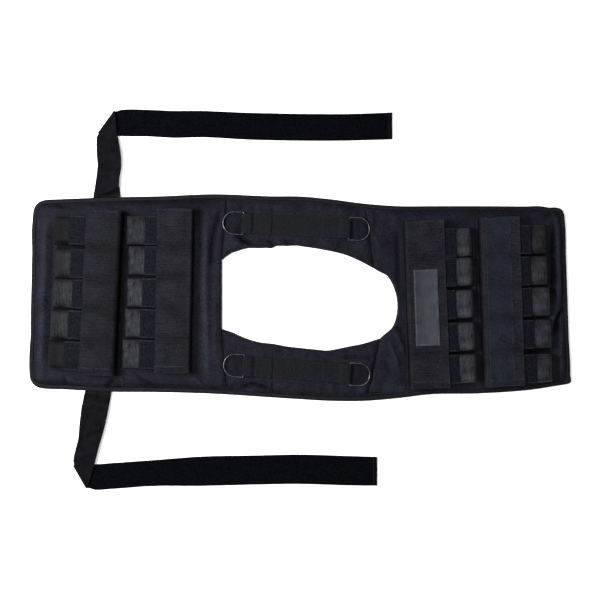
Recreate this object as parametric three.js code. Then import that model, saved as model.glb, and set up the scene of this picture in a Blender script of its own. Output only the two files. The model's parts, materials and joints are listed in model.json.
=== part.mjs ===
// A weighted training vest, laid out flat and open with its outer face up. Millimetres, +Z up.
// +X runs from the hem of the back panel to the hem of the front panel, and +Y is the wearer's left.
// The head goes through the opening between the two panels, and each panel carries two rows of pockets.
import * as THREE from "three";

// Body
const VEST_LENGTH = 1005; // hem to hem
const VEST_WIDTH = 383; // across the two shoulders
const PANEL_THICKNESS = 8; // the padded cloth
const SEAM_THICKNESS = 4.6; // the cloth where it is sewn down
const SEAM_ROLL = 11; // how far from a seam the padding reaches its full thickness
const BACK_LEAN = 9; // how far the upper end of the back hem stands in from the lower
const FRONT_LEAN = 13;
const BACK_UPPER_CORNER = 27;
const BACK_LOWER_CORNER = 32;
const FRONT_UPPER_CORNER = 24;
const FRONT_LOWER_CORNER = 13;
const BINDING_WIDTH = 8; // the tape round the outer edge
const BINDING_HEIGHT = 5.2;
const FIT = 0.3; // the gap between pieces that are sewn together or lie on each other
const SEAM_GAP = 0.5; // between the outer edge and what is sewn to it

// Neck opening
const NECK_LENGTH = 326;
const NECK_WIDTH = 195;
const NECK_OFFSET = 17; // how far its middle lies in front of the vest's middle

// Pockets, each filled by one weight bar
const POCKETS_IN_ROW = 5;
const POCKET_LENGTH = 113;
const POCKET_WIDTH = 52;
const POCKET_HEIGHT = 23;
const POCKET_PITCH = 58;
const POCKET_HEM = 2.4; // the flat, sewn end of a pocket
const POCKET_SHOULDER = 3.2; // how far a pocket's top falls at its two long edges
const LOOP_LENGTH = 58; // the fastening patch on a pocket, part of it under the flap
const LOOP_THICKNESS = 1.3;
const LOOP_START = 28.5; // from the pocket's closed end to the patch

// Flaps, one over the mouths of each row
const FLAP_THICKNESS = 1.8;
const FLAP_OVERHANG = 8; // past the outermost pockets
const FLAP_FOOT = 7; // from the pockets' mouths to the flap's sewn foot
const FLAP_DIP = 1.6; // how far it sags between two pockets
const FLAP_REST = 0.42; // from a pocket's middle to where the sag starts, as a share of its width
const LABEL_LENGTH = 139;
const LABEL_WIDTH = 44;
const LABEL_THICKNESS = 1;
const LABEL_ROW = "front_upper";

// Shoulder webbing and D-rings
const WEB_WIDTH = 37;
const WEB_LENGTH = 203;
const WEB_THICKNESS = 1.8;
const WEB_RETURN = 56; // the doubled end that is stitched down behind a ring
const WIRE = 3; // a ring's wire
const WIRE_PLAY = 0.5; // round the wire inside its loop
const RING_SIDE_PLAY = 0.7; // between a ring's arms and the webbing's edges
const RING_DEPTH = 39; // from the straight bar to the far side of the bow
const RING_CORNER = 2;
const RING_STEPS = 12; // stretches in a ring's bow
// Where the doubled webbing comes down behind a ring, in radii of its loop round the bar.
const WEB_SLOPE = { start: 2.5, end: 5.5, rise: 0.85 };
const WEB_BEVEL = 5; // the slope at the cut end of the doubled webbing
const WEB_TURN_STEPS = 8; // stretches in the webbing's turn round a bar

// Waist belts
const BELT_WIDTH = 50;
const BELT_THICKNESS = 2.2;
const BELT_LENGTH = 666;
const BELT_FOLD = 1.2; // the radius inside the folded corner
const LEFT_BELT_LEG = 137; // from the vest's edge to the folded corner
const RIGHT_BELT_LEG = 150;
const LEFT_BELT_INSET = 145; // from the back hem to the middle of the belt's root
const RIGHT_BELT_INSET = 130;

// Folds in the padded cloth
const RIDGE_WIDTH = 15;
const RIDGE_HEIGHT = 5.5;
const SEAT_MARGIN = 13; // the flat cloth kept round what is sewn on

const CLOTH = new THREE.MeshStandardMaterial({ color: 0x24242b, roughness: 0.78, metalness: 0 });
const TAPE = new THREE.MeshStandardMaterial({ color: 0x1d1d23, roughness: 0.7, metalness: 0 });
const WEBBING = new THREE.MeshStandardMaterial({ color: 0x2b2b2f, roughness: 0.62, metalness: 0 });
const LOOP_PILE = new THREE.MeshStandardMaterial({ color: 0x101014, roughness: 0.95, metalness: 0 });
const STEEL = new THREE.MeshStandardMaterial({ color: 0x3a3c42, roughness: 0.28, metalness: 0.9 });
const PATCH = new THREE.MeshStandardMaterial({ color: 0x30333c, roughness: 0.45, metalness: 0 });

// The two long edges, as shares of the vest's length and width.
const EDGE_ROWS = [
  { at: 0.0, upper: 0.469, lower: -0.44 },
  { at: 0.058, upper: 0.476, lower: -0.444 },
  { at: 0.15, upper: 0.485, lower: -0.456 },
  { at: 0.242, upper: 0.49, lower: -0.458 },
  { at: 0.343, upper: 0.5, lower: -0.466 },
  { at: 0.445, upper: 0.49, lower: -0.483 },
  { at: 0.5, upper: 0.489, lower: -0.492 },
  { at: 0.555, upper: 0.476, lower: -0.5 },
  { at: 0.62, upper: 0.454, lower: -0.5 },
  { at: 0.684, upper: 0.442, lower: -0.486 },
  { at: 0.739, upper: 0.442, lower: -0.469 },
  { at: 0.831, upper: 0.442, lower: -0.464 },
  { at: 0.924, upper: 0.44, lower: -0.447 },
  { at: 0.964, upper: 0.438, lower: -0.431 },
  { at: 1.0, upper: 0.436, lower: -0.414 },
];

// The neck opening along each shoulder, as shares of its length and width.
const NECK_UPPER_ROWS = [
  { at: 0.006, across: 0.355 },
  { at: 0.028, across: 0.388 },
  { at: 0.074, across: 0.422 },
  { at: 0.119, across: 0.459 },
  { at: 0.256, across: 0.469 },
  { at: 0.369, across: 0.493 },
  { at: 0.483, across: 0.479 },
  { at: 0.619, across: 0.441 },
  { at: 0.71, across: 0.403 },
  { at: 0.801, across: 0.337 },
  { at: 0.869, across: 0.275 },
];
const NECK_LOWER_ROWS = [
  { at: 0.006, across: -0.299 },
  { at: 0.074, across: -0.337 },
  { at: 0.119, across: -0.374 },
  { at: 0.21, across: -0.422 },
  { at: 0.301, across: -0.441 },
  { at: 0.392, across: -0.469 },
  { at: 0.483, across: -0.483 },
  { at: 0.619, across: -0.502 },
  { at: 0.71, across: -0.469 },
  { at: 0.801, across: -0.441 },
  { at: 0.903, across: -0.389 },
];
// The scoop in the front panel, from the lower shoulder to the upper.
const NECK_SCOOP_ROWS = [
  { at: 0.903, across: -0.389 },
  { at: 0.949, across: -0.318 },
  { at: 0.983, across: -0.261 },
  { at: 1.0, across: -0.147 },
  { at: 1.0, across: -0.033 },
  { at: 0.98, across: 0.118 },
  { at: 0.949, across: 0.194 },
  { at: 0.869, across: 0.275 },
];
// Where each shoulder seam meets the two long edges, as shares of the vest's length.
const BACK_SEAM = { upper: 0.3665, lower: 0.3655 };
const FRONT_SEAM = { upper: 0.6215, lower: 0.6252 };

// The two pairs of rows: which end of the vest, how far in, the gap in a pair and the flaps' width.
const ROW_PAIRS = {
  back: { end: -1, inset: 50, gap: 11.5, flapReach: 63 },
  front: { end: 1, inset: 48, gap: 15, flapReach: 70.5 },
};
// Slides along a pocket and nudges across it are shares of a pocket's length and of the pitch.
const ROWS = [
  {
    name: "back_lower",
    pair: "back",
    place: 0,
    turn: -2.8,
    shift: 0.0235,
    slides: [-0.018, 0.026, 0.01, 0, -0.015],
    nudges: [0.005, 0.05, 0.005, -0.02, -0.04],
  },
  {
    name: "back_upper",
    pair: "back",
    place: 1,
    turn: -1.2,
    shift: 0.0261,
    slides: [-0.01, 0.03, 0.02, -0.004, -0.035],
    nudges: [0.05, 0, 0.01, -0.02, -0.05],
  },
  {
    name: "front_lower",
    pair: "front",
    place: 0,
    turn: 1.9,
    shift: -0.0248,
    slides: [0.02, 0.016, -0.01, -0.016, -0.01],
    nudges: [-0.005, -0.02, -0.04, -0.02, 0.06],
  },
  {
    name: "front_upper",
    pair: "front",
    place: 1,
    turn: 2.2,
    shift: -0.0326,
    slides: [0, 0, 0.01, 0, -0.006],
    nudges: [0.035, -0.04, -0.02, 0.01, 0.02],
  },
];

// The shoulder webbing: its middle and turn, with the middle as shares of the vest's length and width.
const SHOULDER_WEBS = [
  { name: "left", at: 0.4935, across: 0.344, turn: -2.8 },
  { name: "right", at: 0.4945, across: -0.349, turn: -4.2 },
];

// Main ridges (+) and creases (-) of the padded cloth, with ends as shares of the vest's length and width.
const FOLDS = [
  { from: [0.028, 0.4], to: [0.024, -0.4], wide: 1, high: 1 },
  { from: [0.329, 0.42], to: [0.333, -0.43], wide: 1, high: 0.8 },
  { from: [0.351, 0.4], to: [0.338, 0.28], wide: 0.7, high: -0.45 },
  { from: [0.338, 0.28], to: [0.342, 0.13], wide: 0.7, high: -0.45 },
  { from: [0.29, -0.45], to: [0.32, -0.4], wide: 0.8, high: 0.5 },
  { from: [0.05, 0.44], to: [0.08, 0.4], wide: 0.6, high: -0.4 },
  { from: [0.968, 0.38], to: [0.973, -0.05], wide: 0.9, high: 1 },
  { from: [0.973, -0.07], to: [0.965, -0.19], wide: 0.8, high: 0.9 },
  { from: [0.978, -0.19], to: [0.982, -0.38], wide: 0.8, high: 0.7 },
  { from: [0.65, -0.22], to: [0.675, -0.33], wide: 1, high: 0.5 },
  { from: [0.66, 0.36], to: [0.668, 0.12], wide: 1.1, high: 0.45 },
  { from: [0.39, 0.28], to: [0.415, 0.25], wide: 0.7, high: -0.5 },
  { from: [0.45, 0.31], to: [0.455, 0.25], wide: 0.6, high: -0.5 },
  { from: [0.395, -0.42], to: [0.43, -0.44], wide: 0.8, high: -0.5 },
  { from: [0.56, -0.45], to: [0.6, -0.43], wide: 0.8, high: 0.5 },
];

// Each belt from its root: run along the leg, reach along the free stretch, drift as a share of the
// belt's width, slant of the cross line in degrees, its width, and whether it lies above or below the fold.
const LEFT_BELT_ROWS = [
  { run: 0.0, reach: 0.0, drift: 0.0, slant: 0, wide: 1.02, layer: "root" },
  { run: 0.223, reach: 0.0, drift: 0.056, slant: -2, wide: 0.84, layer: "upper" },
  { run: 0.378, reach: 0.0, drift: 0.11, slant: -5, wide: 0.875, layer: "upper" },
  { run: 0.588, reach: 0.0, drift: 0.083, slant: -7, wide: 0.9, layer: "upper" },
  { run: 0.764, reach: 0.0, drift: 0.046, slant: -3, wide: 0.8, layer: "upper" },
  { run: 0.888, reach: 0.0, drift: 0.0, slant: 14, wide: 0.74, layer: "upper" },
  { run: 1.02, reach: 0.0, drift: -0.11, slant: 60, wide: 0.98, layer: "fold" },
  { run: 1.0, reach: 0.04, drift: 0.0, slant: 81, wide: 1.0, layer: "lower" },
  { run: 1.007, reach: 0.151, drift: 0.0, slant: 90, wide: 0.97, layer: "lower" },
  { run: 0.993, reach: 0.326, drift: 0.0, slant: 90, wide: 0.97, layer: "lower" },
  { run: 0.958, reach: 0.501, drift: 0.0, slant: 90, wide: 0.975, layer: "lower" },
  { run: 0.946, reach: 0.675, drift: 0.0, slant: 90, wide: 0.97, layer: "lower" },
  { run: 0.949, reach: 0.85, drift: 0.0, slant: 90, wide: 0.96, layer: "lower" },
  { run: 0.959, reach: 1.0, drift: 0.0, slant: 90, wide: 1.0, layer: "lower" },
];
const RIGHT_BELT_ROWS = [
  { run: 0.0, reach: 0.0, drift: 0.0, slant: 0, wide: 0.98, layer: "root" },
  { run: 0.13, reach: 0.0, drift: -0.1, slant: 0, wide: 1.0, layer: "upper" },
  { run: 0.333, reach: 0.0, drift: -0.204, slant: 0, wide: 0.963, layer: "upper" },
  { run: 0.531, reach: 0.0, drift: -0.306, slant: 0, wide: 0.86, layer: "upper" },
  { run: 0.704, reach: 0.0, drift: -0.444, slant: 0, wide: 0.84, layer: "upper" },
  { run: 0.846, reach: 0.0, drift: -0.528, slant: 8, wide: 0.8, layer: "upper" },
  { run: 1.025, reach: 0.0, drift: -0.722, slant: 66, wide: 1.04, layer: "fold" },
  { run: 1.045, reach: 0.0, drift: -0.3, slant: 80, wide: 0.98, layer: "lower" },
  { run: 1.03, reach: 0.042, drift: 0.0, slant: 88, wide: 0.94, layer: "lower" },
  { run: 0.986, reach: 0.186, drift: 0.0, slant: 90, wide: 0.93, layer: "lower" },
  { run: 0.972, reach: 0.366, drift: 0.0, slant: 90, wide: 1.04, layer: "lower" },
  { run: 0.954, reach: 0.546, drift: 0.0, slant: 90, wide: 1.05, layer: "lower" },
  { run: 0.948, reach: 0.726, drift: 0.0, slant: 90, wide: 1.05, layer: "lower" },
  { run: 0.97, reach: 0.906, drift: 0.0, slant: 90, wide: 1.06, layer: "lower" },
  { run: 0.978, reach: 1.0, drift: 0.0, slant: 90, wide: 1.04, layer: "lower" },
];
// How high each layer's underside lies, as a share of the height between the two folded layers.
const LAYER_LIFT = { root: 0, upper: 0.5, fold: 1, lower: 0 };

const PANEL_CELLS = { along: 19, besideNeck: 5, atNeck: 7 };
const SHOULDER_CELLS = { along: 18, across: 8 };
const EDGE_CELLS = 48; // along each long edge of the binding
const END_CELLS = 4;
const CORNER_CELLS = 6; // round each outer corner, an even number
const WIRE_SIDES = 8;

const point = (x, y) => new THREE.Vector2(x, y);
const alongVest = (share) => (share - 0.5) * VEST_LENGTH;
const acrossVest = (share) => share * VEST_WIDTH;

// A smooth curve through one column of a table, read by the table's "at" column.
function columnCurve(rows, column) {
  const at = rows.map((row) => row.at);
  const values = rows.map((row) => row[column]);
  const curve = new THREE.CubicInterpolant(at, values, 1);
  return (share) => curve.evaluate(share)[0];
}

// A path through points that is read by its share of the length.
function pathThrough(points) {
  const lengths = [0];
  points.slice(1).forEach((p, i) => lengths.push(lengths[i] + p.distanceTo(points[i])));
  const total = lengths[lengths.length - 1];
  return (share) => {
    const wanted = THREE.MathUtils.clamp(share, 0, 1) * total;
    const i = Math.max(1, lengths.findIndex((length) => length >= wanted - 1e-9));
    const part = (wanted - lengths[i - 1]) / (lengths[i] - lengths[i - 1]);
    return points[i - 1].clone().lerp(points[i], part);
  };
}

// Shares from 0 to 1, closer together towards both ends.
function closeAtEnds(cells) {
  return Array.from({ length: cells + 1 }, (_, i) => 0.5 - 0.5 * Math.cos((Math.PI * i) / cells));
}

function evenly(cells) {
  return Array.from({ length: cells + 1 }, (_, i) => i / cells);
}

// Shares from 0 to 1 that hold the two ends of a middle stretch.
function closeAtKnots(knots, sideCells, middleCells) {
  const stretch = (from, to, cells) =>
    closeAtEnds(cells).map((share) => THREE.MathUtils.lerp(from, to, share));
  return [
    ...stretch(0, knots[0], sideCells),
    ...stretch(knots[0], knots[1], middleCells).slice(1),
    ...stretch(knots[1], 1, sideCells).slice(1),
  ];
}

// How far along a path two of its points lie, as shares of its length.
function knotShares(points, first, second) {
  const length = (from, to) =>
    points.slice(from + 1, to + 1).reduce((sum, p, i) => sum + p.distanceTo(points[from + i]), 0);
  const total = length(0, points.length - 1);
  return [length(0, first) / total, length(0, second) / total];
}

const edgeCurve = { upper: columnCurve(EDGE_ROWS, "upper"), lower: columnCurve(EDGE_ROWS, "lower") };
const neckCurve = {
  upper: columnCurve(NECK_UPPER_ROWS, "across"),
  lower: columnCurve(NECK_LOWER_ROWS, "across"),
};

// The vest's outer line, moved inwards by inset: its two long edges and its four rounded corners.
function outerLine(inset) {
  const inwards = { upper: -inset, lower: inset };
  const edge = (side, x) => acrossVest(edgeCurve[side](x / VEST_LENGTH + 0.5)) + inwards[side];
  const lean = (y) => y / VEST_WIDTH + 0.5;
  const end = {
    back: (y) => -VEST_LENGTH / 2 + BACK_LEAN * lean(y) + inset,
    front: (y) => VEST_LENGTH / 2 - FRONT_LEAN * lean(y) - inset,
  };
  const corner = (side, panel, fullRadius) => {
    const radius = Math.max(fullRadius - inset, 2);
    const outward = panel === "back" ? -1 : 1;
    const up = side === "upper" ? 1 : -1;
    const tip = point(end[panel](edge(side, (outward * VEST_LENGTH) / 2)), 0);
    tip.y = edge(side, tip.x);
    const onEnd = point(end[panel](tip.y - up * radius), tip.y - up * radius);
    const onEdge = point(tip.x - outward * radius, edge(side, tip.x - outward * radius));
    return new THREE.QuadraticBezierCurve(onEnd, tip, onEdge);
  };
  const corners = {
    backUpper: corner("upper", "back", BACK_UPPER_CORNER),
    backLower: corner("lower", "back", BACK_LOWER_CORNER),
    frontUpper: corner("upper", "front", FRONT_UPPER_CORNER),
    frontLower: corner("lower", "front", FRONT_LOWER_CORNER),
  };
  const edgeRun = (side, fromX, toX, cells) =>
    evenly(cells).map((share) => {
      const x = THREE.MathUtils.lerp(fromX, toX, share);
      return point(x, edge(side, x));
    });
  return { edge, corners, edgeRun };
}

// The whole outer line as one closed run of points, counter-clockwise, without a repeated point.
function closedLine(inset) {
  const { corners, edgeRun } = outerLine(inset);
  const cornerRun = (name, towardsEdge) => {
    const run = corners[name].getPoints(CORNER_CELLS);
    return towardsEdge ? run : run.reverse();
  };
  const between = (a, b, cells) => evenly(cells).map((share) => a.clone().lerp(b, share));
  const run = [
    ...cornerRun("backLower", true),
    ...edgeRun("lower", corners.backLower.v2.x, corners.frontLower.v2.x, EDGE_CELLS).slice(1, -1),
    ...cornerRun("frontLower", false),
    ...between(corners.frontLower.v0, corners.frontUpper.v0, END_CELLS).slice(1, -1),
    ...cornerRun("frontUpper", true),
    ...edgeRun("upper", corners.frontUpper.v2.x, corners.backUpper.v2.x, EDGE_CELLS).slice(1, -1),
    ...cornerRun("backUpper", false),
    ...between(corners.backUpper.v0, corners.backLower.v0, END_CELLS).slice(1, -1),
  ];
  return run;
}

// Geometry from corner points and faces that list them.
function geometryOf(points, triangles) {
  const geometry = new THREE.BufferGeometry();
  geometry.setAttribute("position", new THREE.Float32BufferAttribute(points.flatMap((p) => p.toArray()), 3));
  geometry.setIndex(triangles);
  geometry.computeVertexNormals();
  return geometry;
}

// The two triangles of a four-cornered cell.
const cell = (a, b, c, d) => [a, b, c, a, c, d];

// A padded solid on a flat base: a grid of points for its top, straight walls and one flat underside.
function quilt(top, baseHeight) {
  const rows = top.length;
  const columns = top[0].length;
  const points = top.flat();
  const triangles = [];
  const id = (i, j) => i * columns + j;
  for (let i = 0; i + 1 < rows; i += 1) {
    for (let j = 0; j + 1 < columns; j += 1) {
      triangles.push(...cell(id(i, j), id(i + 1, j), id(i + 1, j + 1), id(i, j + 1)));
    }
  }
  const rim = [
    ...evenly(rows - 1).map((_, i) => id(i, 0)),
    ...evenly(columns - 1).map((_, j) => id(rows - 1, j)).slice(1),
    ...evenly(rows - 1).map((_, i) => id(rows - 1 - i, columns - 1)).slice(1),
    ...evenly(columns - 1).map((_, j) => id(0, columns - 1 - j)).slice(1, -1),
  ];
  const base = rim.map((index, k) => {
    points.push(new THREE.Vector3(points[index].x, points[index].y, baseHeight));
    return rows * columns + k;
  });
  rim.forEach((index, k) => {
    const next = (k + 1) % rim.length;
    triangles.push(...cell(index, base[k], base[next], rim[next]));
  });
  const outline = base.map((index) => point(points[index].x, points[index].y));
  THREE.ShapeUtils.triangulateShape(outline, []).forEach(([a, b, c]) => {
    triangles.push(base[a], base[c], base[b]);
  });
  return geometryOf(points, triangles);
}

// A sheet of cloth: a grid of points for its underside, and its thickness added along the surface's normal.
function sheet(under, thickness) {
  const rows = under.length;
  const columns = under[0].length;
  const normalAt = (i, j) => {
    const along = under[Math.min(i + 1, rows - 1)][j].clone().sub(under[Math.max(i - 1, 0)][j]);
    const across = under[i][Math.min(j + 1, columns - 1)].clone().sub(under[i][Math.max(j - 1, 0)]);
    return along.normalize().cross(across.normalize()).normalize();
  };
  const over = under.map((row, i) => row.map((p, j) => p.clone().addScaledVector(normalAt(i, j), thickness)));
  const points = [...under.flat(), ...over.flat()];
  const lower = (i, j) => i * columns + j;
  const upper = (i, j) => rows * columns + lower(i, j);
  const triangles = [];
  for (let i = 0; i + 1 < rows; i += 1) {
    for (let j = 0; j + 1 < columns; j += 1) {
      triangles.push(...cell(upper(i, j), upper(i + 1, j), upper(i + 1, j + 1), upper(i, j + 1)));
      triangles.push(...cell(lower(i, j), lower(i, j + 1), lower(i + 1, j + 1), lower(i + 1, j)));
    }
    const last = columns - 1;
    triangles.push(...cell(lower(i, 0), lower(i + 1, 0), upper(i + 1, 0), upper(i, 0)));
    triangles.push(...cell(lower(i + 1, last), lower(i, last), upper(i, last), upper(i + 1, last)));
  }
  for (let j = 0; j + 1 < columns; j += 1) {
    const last = rows - 1;
    triangles.push(...cell(lower(0, j + 1), lower(0, j), upper(0, j), upper(0, j + 1)));
    triangles.push(...cell(lower(last, j), lower(last, j + 1), upper(last, j + 1), upper(last, j)));
  }
  return geometryOf(points, triangles);
}

// A solid swept round a closed run of stations, each a ring of points in the same order.
function closedSweep(stations) {
  const sides = stations[0].length;
  const triangles = [];
  stations.forEach((_, i) => {
    const next = (i + 1) % stations.length;
    for (let j = 0; j < sides; j += 1) {
      const beside = (j + 1) % sides;
      triangles.push(...cell(i * sides + j, next * sides + j, next * sides + beside, i * sides + beside));
    }
  });
  return geometryOf(stations.flat(), triangles);
}

function named(name, geometry, material) {
  const mesh = new THREE.Mesh(geometry, material);
  mesh.name = name;
  return mesh;
}

// What is sewn on the body, as turned rectangles that need flat cloth under them.
const rowLength = POCKET_LENGTH + FLAP_FOOT + FLAP_THICKNESS;
const rowWidth = (POCKETS_IN_ROW - 1) * POCKET_PITCH + POCKET_WIDTH;
const seatHeight = PANEL_THICKNESS + FIT;

// The closed end and the direction of a row: pockets open towards the neck.
function rowPlace(row) {
  const pair = ROW_PAIRS[row.pair];
  const fromEnd = pair.inset + row.place * (rowLength + pair.gap);
  const turn = THREE.MathUtils.degToRad(row.turn);
  return {
    x: pair.end * (VEST_LENGTH / 2 - fromEnd),
    y: row.shift * VEST_WIDTH,
    angle: pair.end < 0 ? turn : turn + Math.PI,
  };
}

const rowSeats = ROWS.map((row) => {
  const place = rowPlace(row);
  return { ...place, from: 0, to: rowLength, half: rowWidth / 2 + FLAP_OVERHANG };
});
const webSeats = SHOULDER_WEBS.map((web) => ({
  x: alongVest(web.at),
  y: acrossVest(web.across),
  angle: THREE.MathUtils.degToRad(web.turn),
  from: -WEB_LENGTH / 2 - RING_DEPTH,
  to: WEB_LENGTH / 2 + RING_DEPTH,
  half: WEB_WIDTH / 2,
}));

// How far a point of the cloth lies outside a seat.
function distanceOutside(seat, x, y) {
  const dx = x - seat.x;
  const dy = y - seat.y;
  const along = dx * Math.cos(seat.angle) + dy * Math.sin(seat.angle);
  const across = -dx * Math.sin(seat.angle) + dy * Math.cos(seat.angle);
  const pastEnds = Math.max(seat.from - along, along - seat.to, 0);
  return Math.hypot(pastEnds, Math.max(Math.abs(across) - seat.half, 0));
}

// The height that the folds add at a point, which fades out towards the seats.
function foldHeight(x, y) {
  const spot = new THREE.Vector3(x, y, 0);
  const raised = FOLDS.reduce((sum, fold) => {
    const line = new THREE.Line3(
      new THREE.Vector3(alongVest(fold.from[0]), acrossVest(fold.from[1]), 0),
      new THREE.Vector3(alongVest(fold.to[0]), acrossVest(fold.to[1]), 0),
    );
    const off = line.closestPointToPoint(spot, true, new THREE.Vector3()).distanceTo(spot);
    const share = Math.min(off / (RIDGE_WIDTH * fold.wide), 1);
    return sum + fold.high * RIDGE_HEIGHT * 0.5 * (1 + Math.cos(Math.PI * share));
  }, 0);
  const clear = Math.min(...[...rowSeats, ...webSeats].map((seat) => distanceOutside(seat, x, y)));
  return raised * THREE.MathUtils.smoothstep(clear, SEAT_MARGIN, SEAT_MARGIN + RIDGE_WIDTH / 2);
}

// A padded panel between four border paths: lower and upper run with +X, back and front with +Y.
function paddedPanel(name, paths, alongShares, acrossShares) {
  const { lower, upper, back, front } = paths;
  const corner = { backLower: back(0), backUpper: back(1), frontLower: front(0), frontUpper: front(1) };
  const grid = alongShares.map((u) =>
    acrossShares.map((v) => {
      const spot = lower(u).multiplyScalar(1 - v).addScaledVector(upper(u), v);
      spot.addScaledVector(back(v), 1 - u).addScaledVector(front(v), u);
      spot.addScaledVector(corner.backLower, -(1 - u) * (1 - v));
      spot.addScaledVector(corner.backUpper, -(1 - u) * v);
      spot.addScaledVector(corner.frontLower, -u * (1 - v));
      spot.addScaledVector(corner.frontUpper, -u * v);
      const toBorder = Math.min(
        spot.distanceTo(lower(u)),
        spot.distanceTo(upper(u)),
        spot.distanceTo(back(v)),
        spot.distanceTo(front(v)),
      );
      const padding = THREE.MathUtils.smoothstep(toBorder, 0, SEAM_ROLL);
      const height = THREE.MathUtils.lerp(SEAM_THICKNESS, PANEL_THICKNESS, padding);
      return new THREE.Vector3(spot.x, spot.y, height + padding * foldHeight(spot.x, spot.y));
    }),
  );
  return named(name, quilt(grid, 0), CLOTH);
}

const inner = outerLine(BINDING_WIDTH + FIT);
const neckPoint = (at, across) => point(NECK_OFFSET + (at - 0.5) * NECK_LENGTH, across * NECK_WIDTH);
const neckCorner = {
  backUpper: neckPoint(NECK_UPPER_ROWS[0].at, NECK_UPPER_ROWS[0].across),
  backLower: neckPoint(NECK_LOWER_ROWS[0].at, NECK_LOWER_ROWS[0].across),
  frontUpper: neckPoint(NECK_UPPER_ROWS.at(-1).at, NECK_UPPER_ROWS.at(-1).across),
  frontLower: neckPoint(NECK_LOWER_ROWS.at(-1).at, NECK_LOWER_ROWS.at(-1).across),
};
const seamTop = (seam, side) => point(alongVest(seam[side]), inner.edge(side, alongVest(seam[side])));
const shifted = (points, dx) => points.map((p) => point(p.x + dx, p.y));
const innerCorner = (name) => inner.corners[name].getPoints(CORNER_CELLS);
const endHalf = (corner) => corner.slice(0, CORNER_CELLS / 2 + 1);
const edgeHalf = (corner) => corner.slice(CORNER_CELLS / 2);
const panelAlong = closeAtEnds(PANEL_CELLS.along);
const panelAcross = (knots) => closeAtKnots(knots, PANEL_CELLS.besideNeck, PANEL_CELLS.atNeck);

// The panel over the wearer's back, from its hem to the back of the neck.
function backPanel() {
  const lowerCorner = innerCorner("backLower");
  const upperCorner = innerCorner("backUpper");
  const seam = shifted(
    [seamTop(BACK_SEAM, "lower"), neckCorner.backLower, neckCorner.backUpper, seamTop(BACK_SEAM, "upper")],
    -FIT / 2,
  );
  const edgeTo = (side, corner, foot) => [
    ...edgeHalf(corner),
    ...inner.edgeRun(side, corner.at(-1).x, foot.x, EDGE_CELLS).slice(1, -1),
    foot,
  ];
  const paths = {
    lower: pathThrough(edgeTo("lower", lowerCorner, seam[0])),
    upper: pathThrough(edgeTo("upper", upperCorner, seam.at(-1))),
    back: pathThrough([...endHalf(lowerCorner).reverse(), ...endHalf(upperCorner)]),
    front: pathThrough(seam),
  };
  return paddedPanel("back_panel", paths, panelAlong, panelAcross(knotShares(seam, 1, 2)));
}

// The panel over the wearer's chest, with the scoop of the neck in it.
function frontPanel() {
  const lowerCorner = innerCorner("frontLower");
  const upperCorner = innerCorner("frontUpper");
  const scoopCurve = new THREE.SplineCurve(NECK_SCOOP_ROWS.map((row) => neckPoint(row.at, row.across)));
  const scoop = scoopCurve.getPoints(3 * NECK_SCOOP_ROWS.length);
  const seam = shifted(
    [seamTop(FRONT_SEAM, "lower"), ...scoop, seamTop(FRONT_SEAM, "upper")],
    FIT / 2,
  );
  const edgeFrom = (side, corner, foot) => [
    foot,
    ...inner.edgeRun(side, foot.x, corner.at(-1).x, EDGE_CELLS).slice(1, -1),
    ...edgeHalf(corner).reverse(),
  ];
  const paths = {
    lower: pathThrough(edgeFrom("lower", lowerCorner, seam[0])),
    upper: pathThrough(edgeFrom("upper", upperCorner, seam.at(-1))),
    back: pathThrough(seam),
    front: pathThrough([...endHalf(lowerCorner).reverse(), ...endHalf(upperCorner)]),
  };
  return paddedPanel("front_panel", paths, panelAlong, panelAcross(knotShares(seam, 1, scoop.length)));
}

// The cloth over one shoulder, between the neck opening and the vest's long edge.
function shoulderPanel(name, side) {
  const rows = side === "upper" ? NECK_UPPER_ROWS : NECK_LOWER_ROWS;
  const first = rows[0].at;
  const last = rows.at(-1).at;
  const neckRun = evenly(EDGE_CELLS).map((share) => {
    const at = THREE.MathUtils.lerp(first, last, share);
    return neckPoint(at, neckCurve[side](at));
  });
  const foot = { back: seamTop(BACK_SEAM, side), front: seamTop(FRONT_SEAM, side) };
  const edgeRun = inner.edgeRun(side, foot.back.x + FIT / 2, foot.front.x - FIT / 2, EDGE_CELLS);
  const inwards = (points) => {
    const ends = points.map((p) => p.clone());
    ends[0].x += FIT / 2;
    ends.at(-1).x -= FIT / 2;
    return ends;
  };
  const neckPath = inwards(neckRun);
  const [lowerRun, upperRun] = side === "upper" ? [neckPath, edgeRun] : [edgeRun, neckPath];
  const paths = {
    lower: pathThrough(lowerRun),
    upper: pathThrough(upperRun),
    back: pathThrough([lowerRun[0], upperRun[0]]),
    front: pathThrough([lowerRun.at(-1), upperRun.at(-1)]),
  };
  return paddedPanel(name, paths, closeAtEnds(SHOULDER_CELLS.along), closeAtEnds(SHOULDER_CELLS.across));
}

// The tape folded over the outer edge, as a rounded bead all the way round.
function edgeBinding() {
  const profile = [
    { across: 0, up: 0.7 },
    { across: 0.3, up: 1 },
    { across: 0.7, up: 1 },
    { across: 1, up: 0.84 },
    { across: 1, up: 0 },
    { across: 0, up: 0 },
  ];
  const outside = closedLine(0);
  const inside = closedLine(BINDING_WIDTH);
  const stations = outside.map((p, i) =>
    profile.map(({ across, up }) => {
      const spot = p.clone().lerp(inside[i], across);
      return new THREE.Vector3(spot.x, spot.y, up * BINDING_HEIGHT);
    }),
  );
  return named("edge_binding", closedSweep(stations), TAPE);
}

// Where the grid lines of a pocket lie: along it in millimetres, and across it as shares of its width.
const POCKET_ALONG = [0, 0.035, 0.07, 0.115, 0.165, 0.45, 0.95, 1].map((share) => share * POCKET_LENGTH);
const POCKET_ACROSS = [-0.5, -0.4, 0, 0.4, 0.5];

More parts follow.
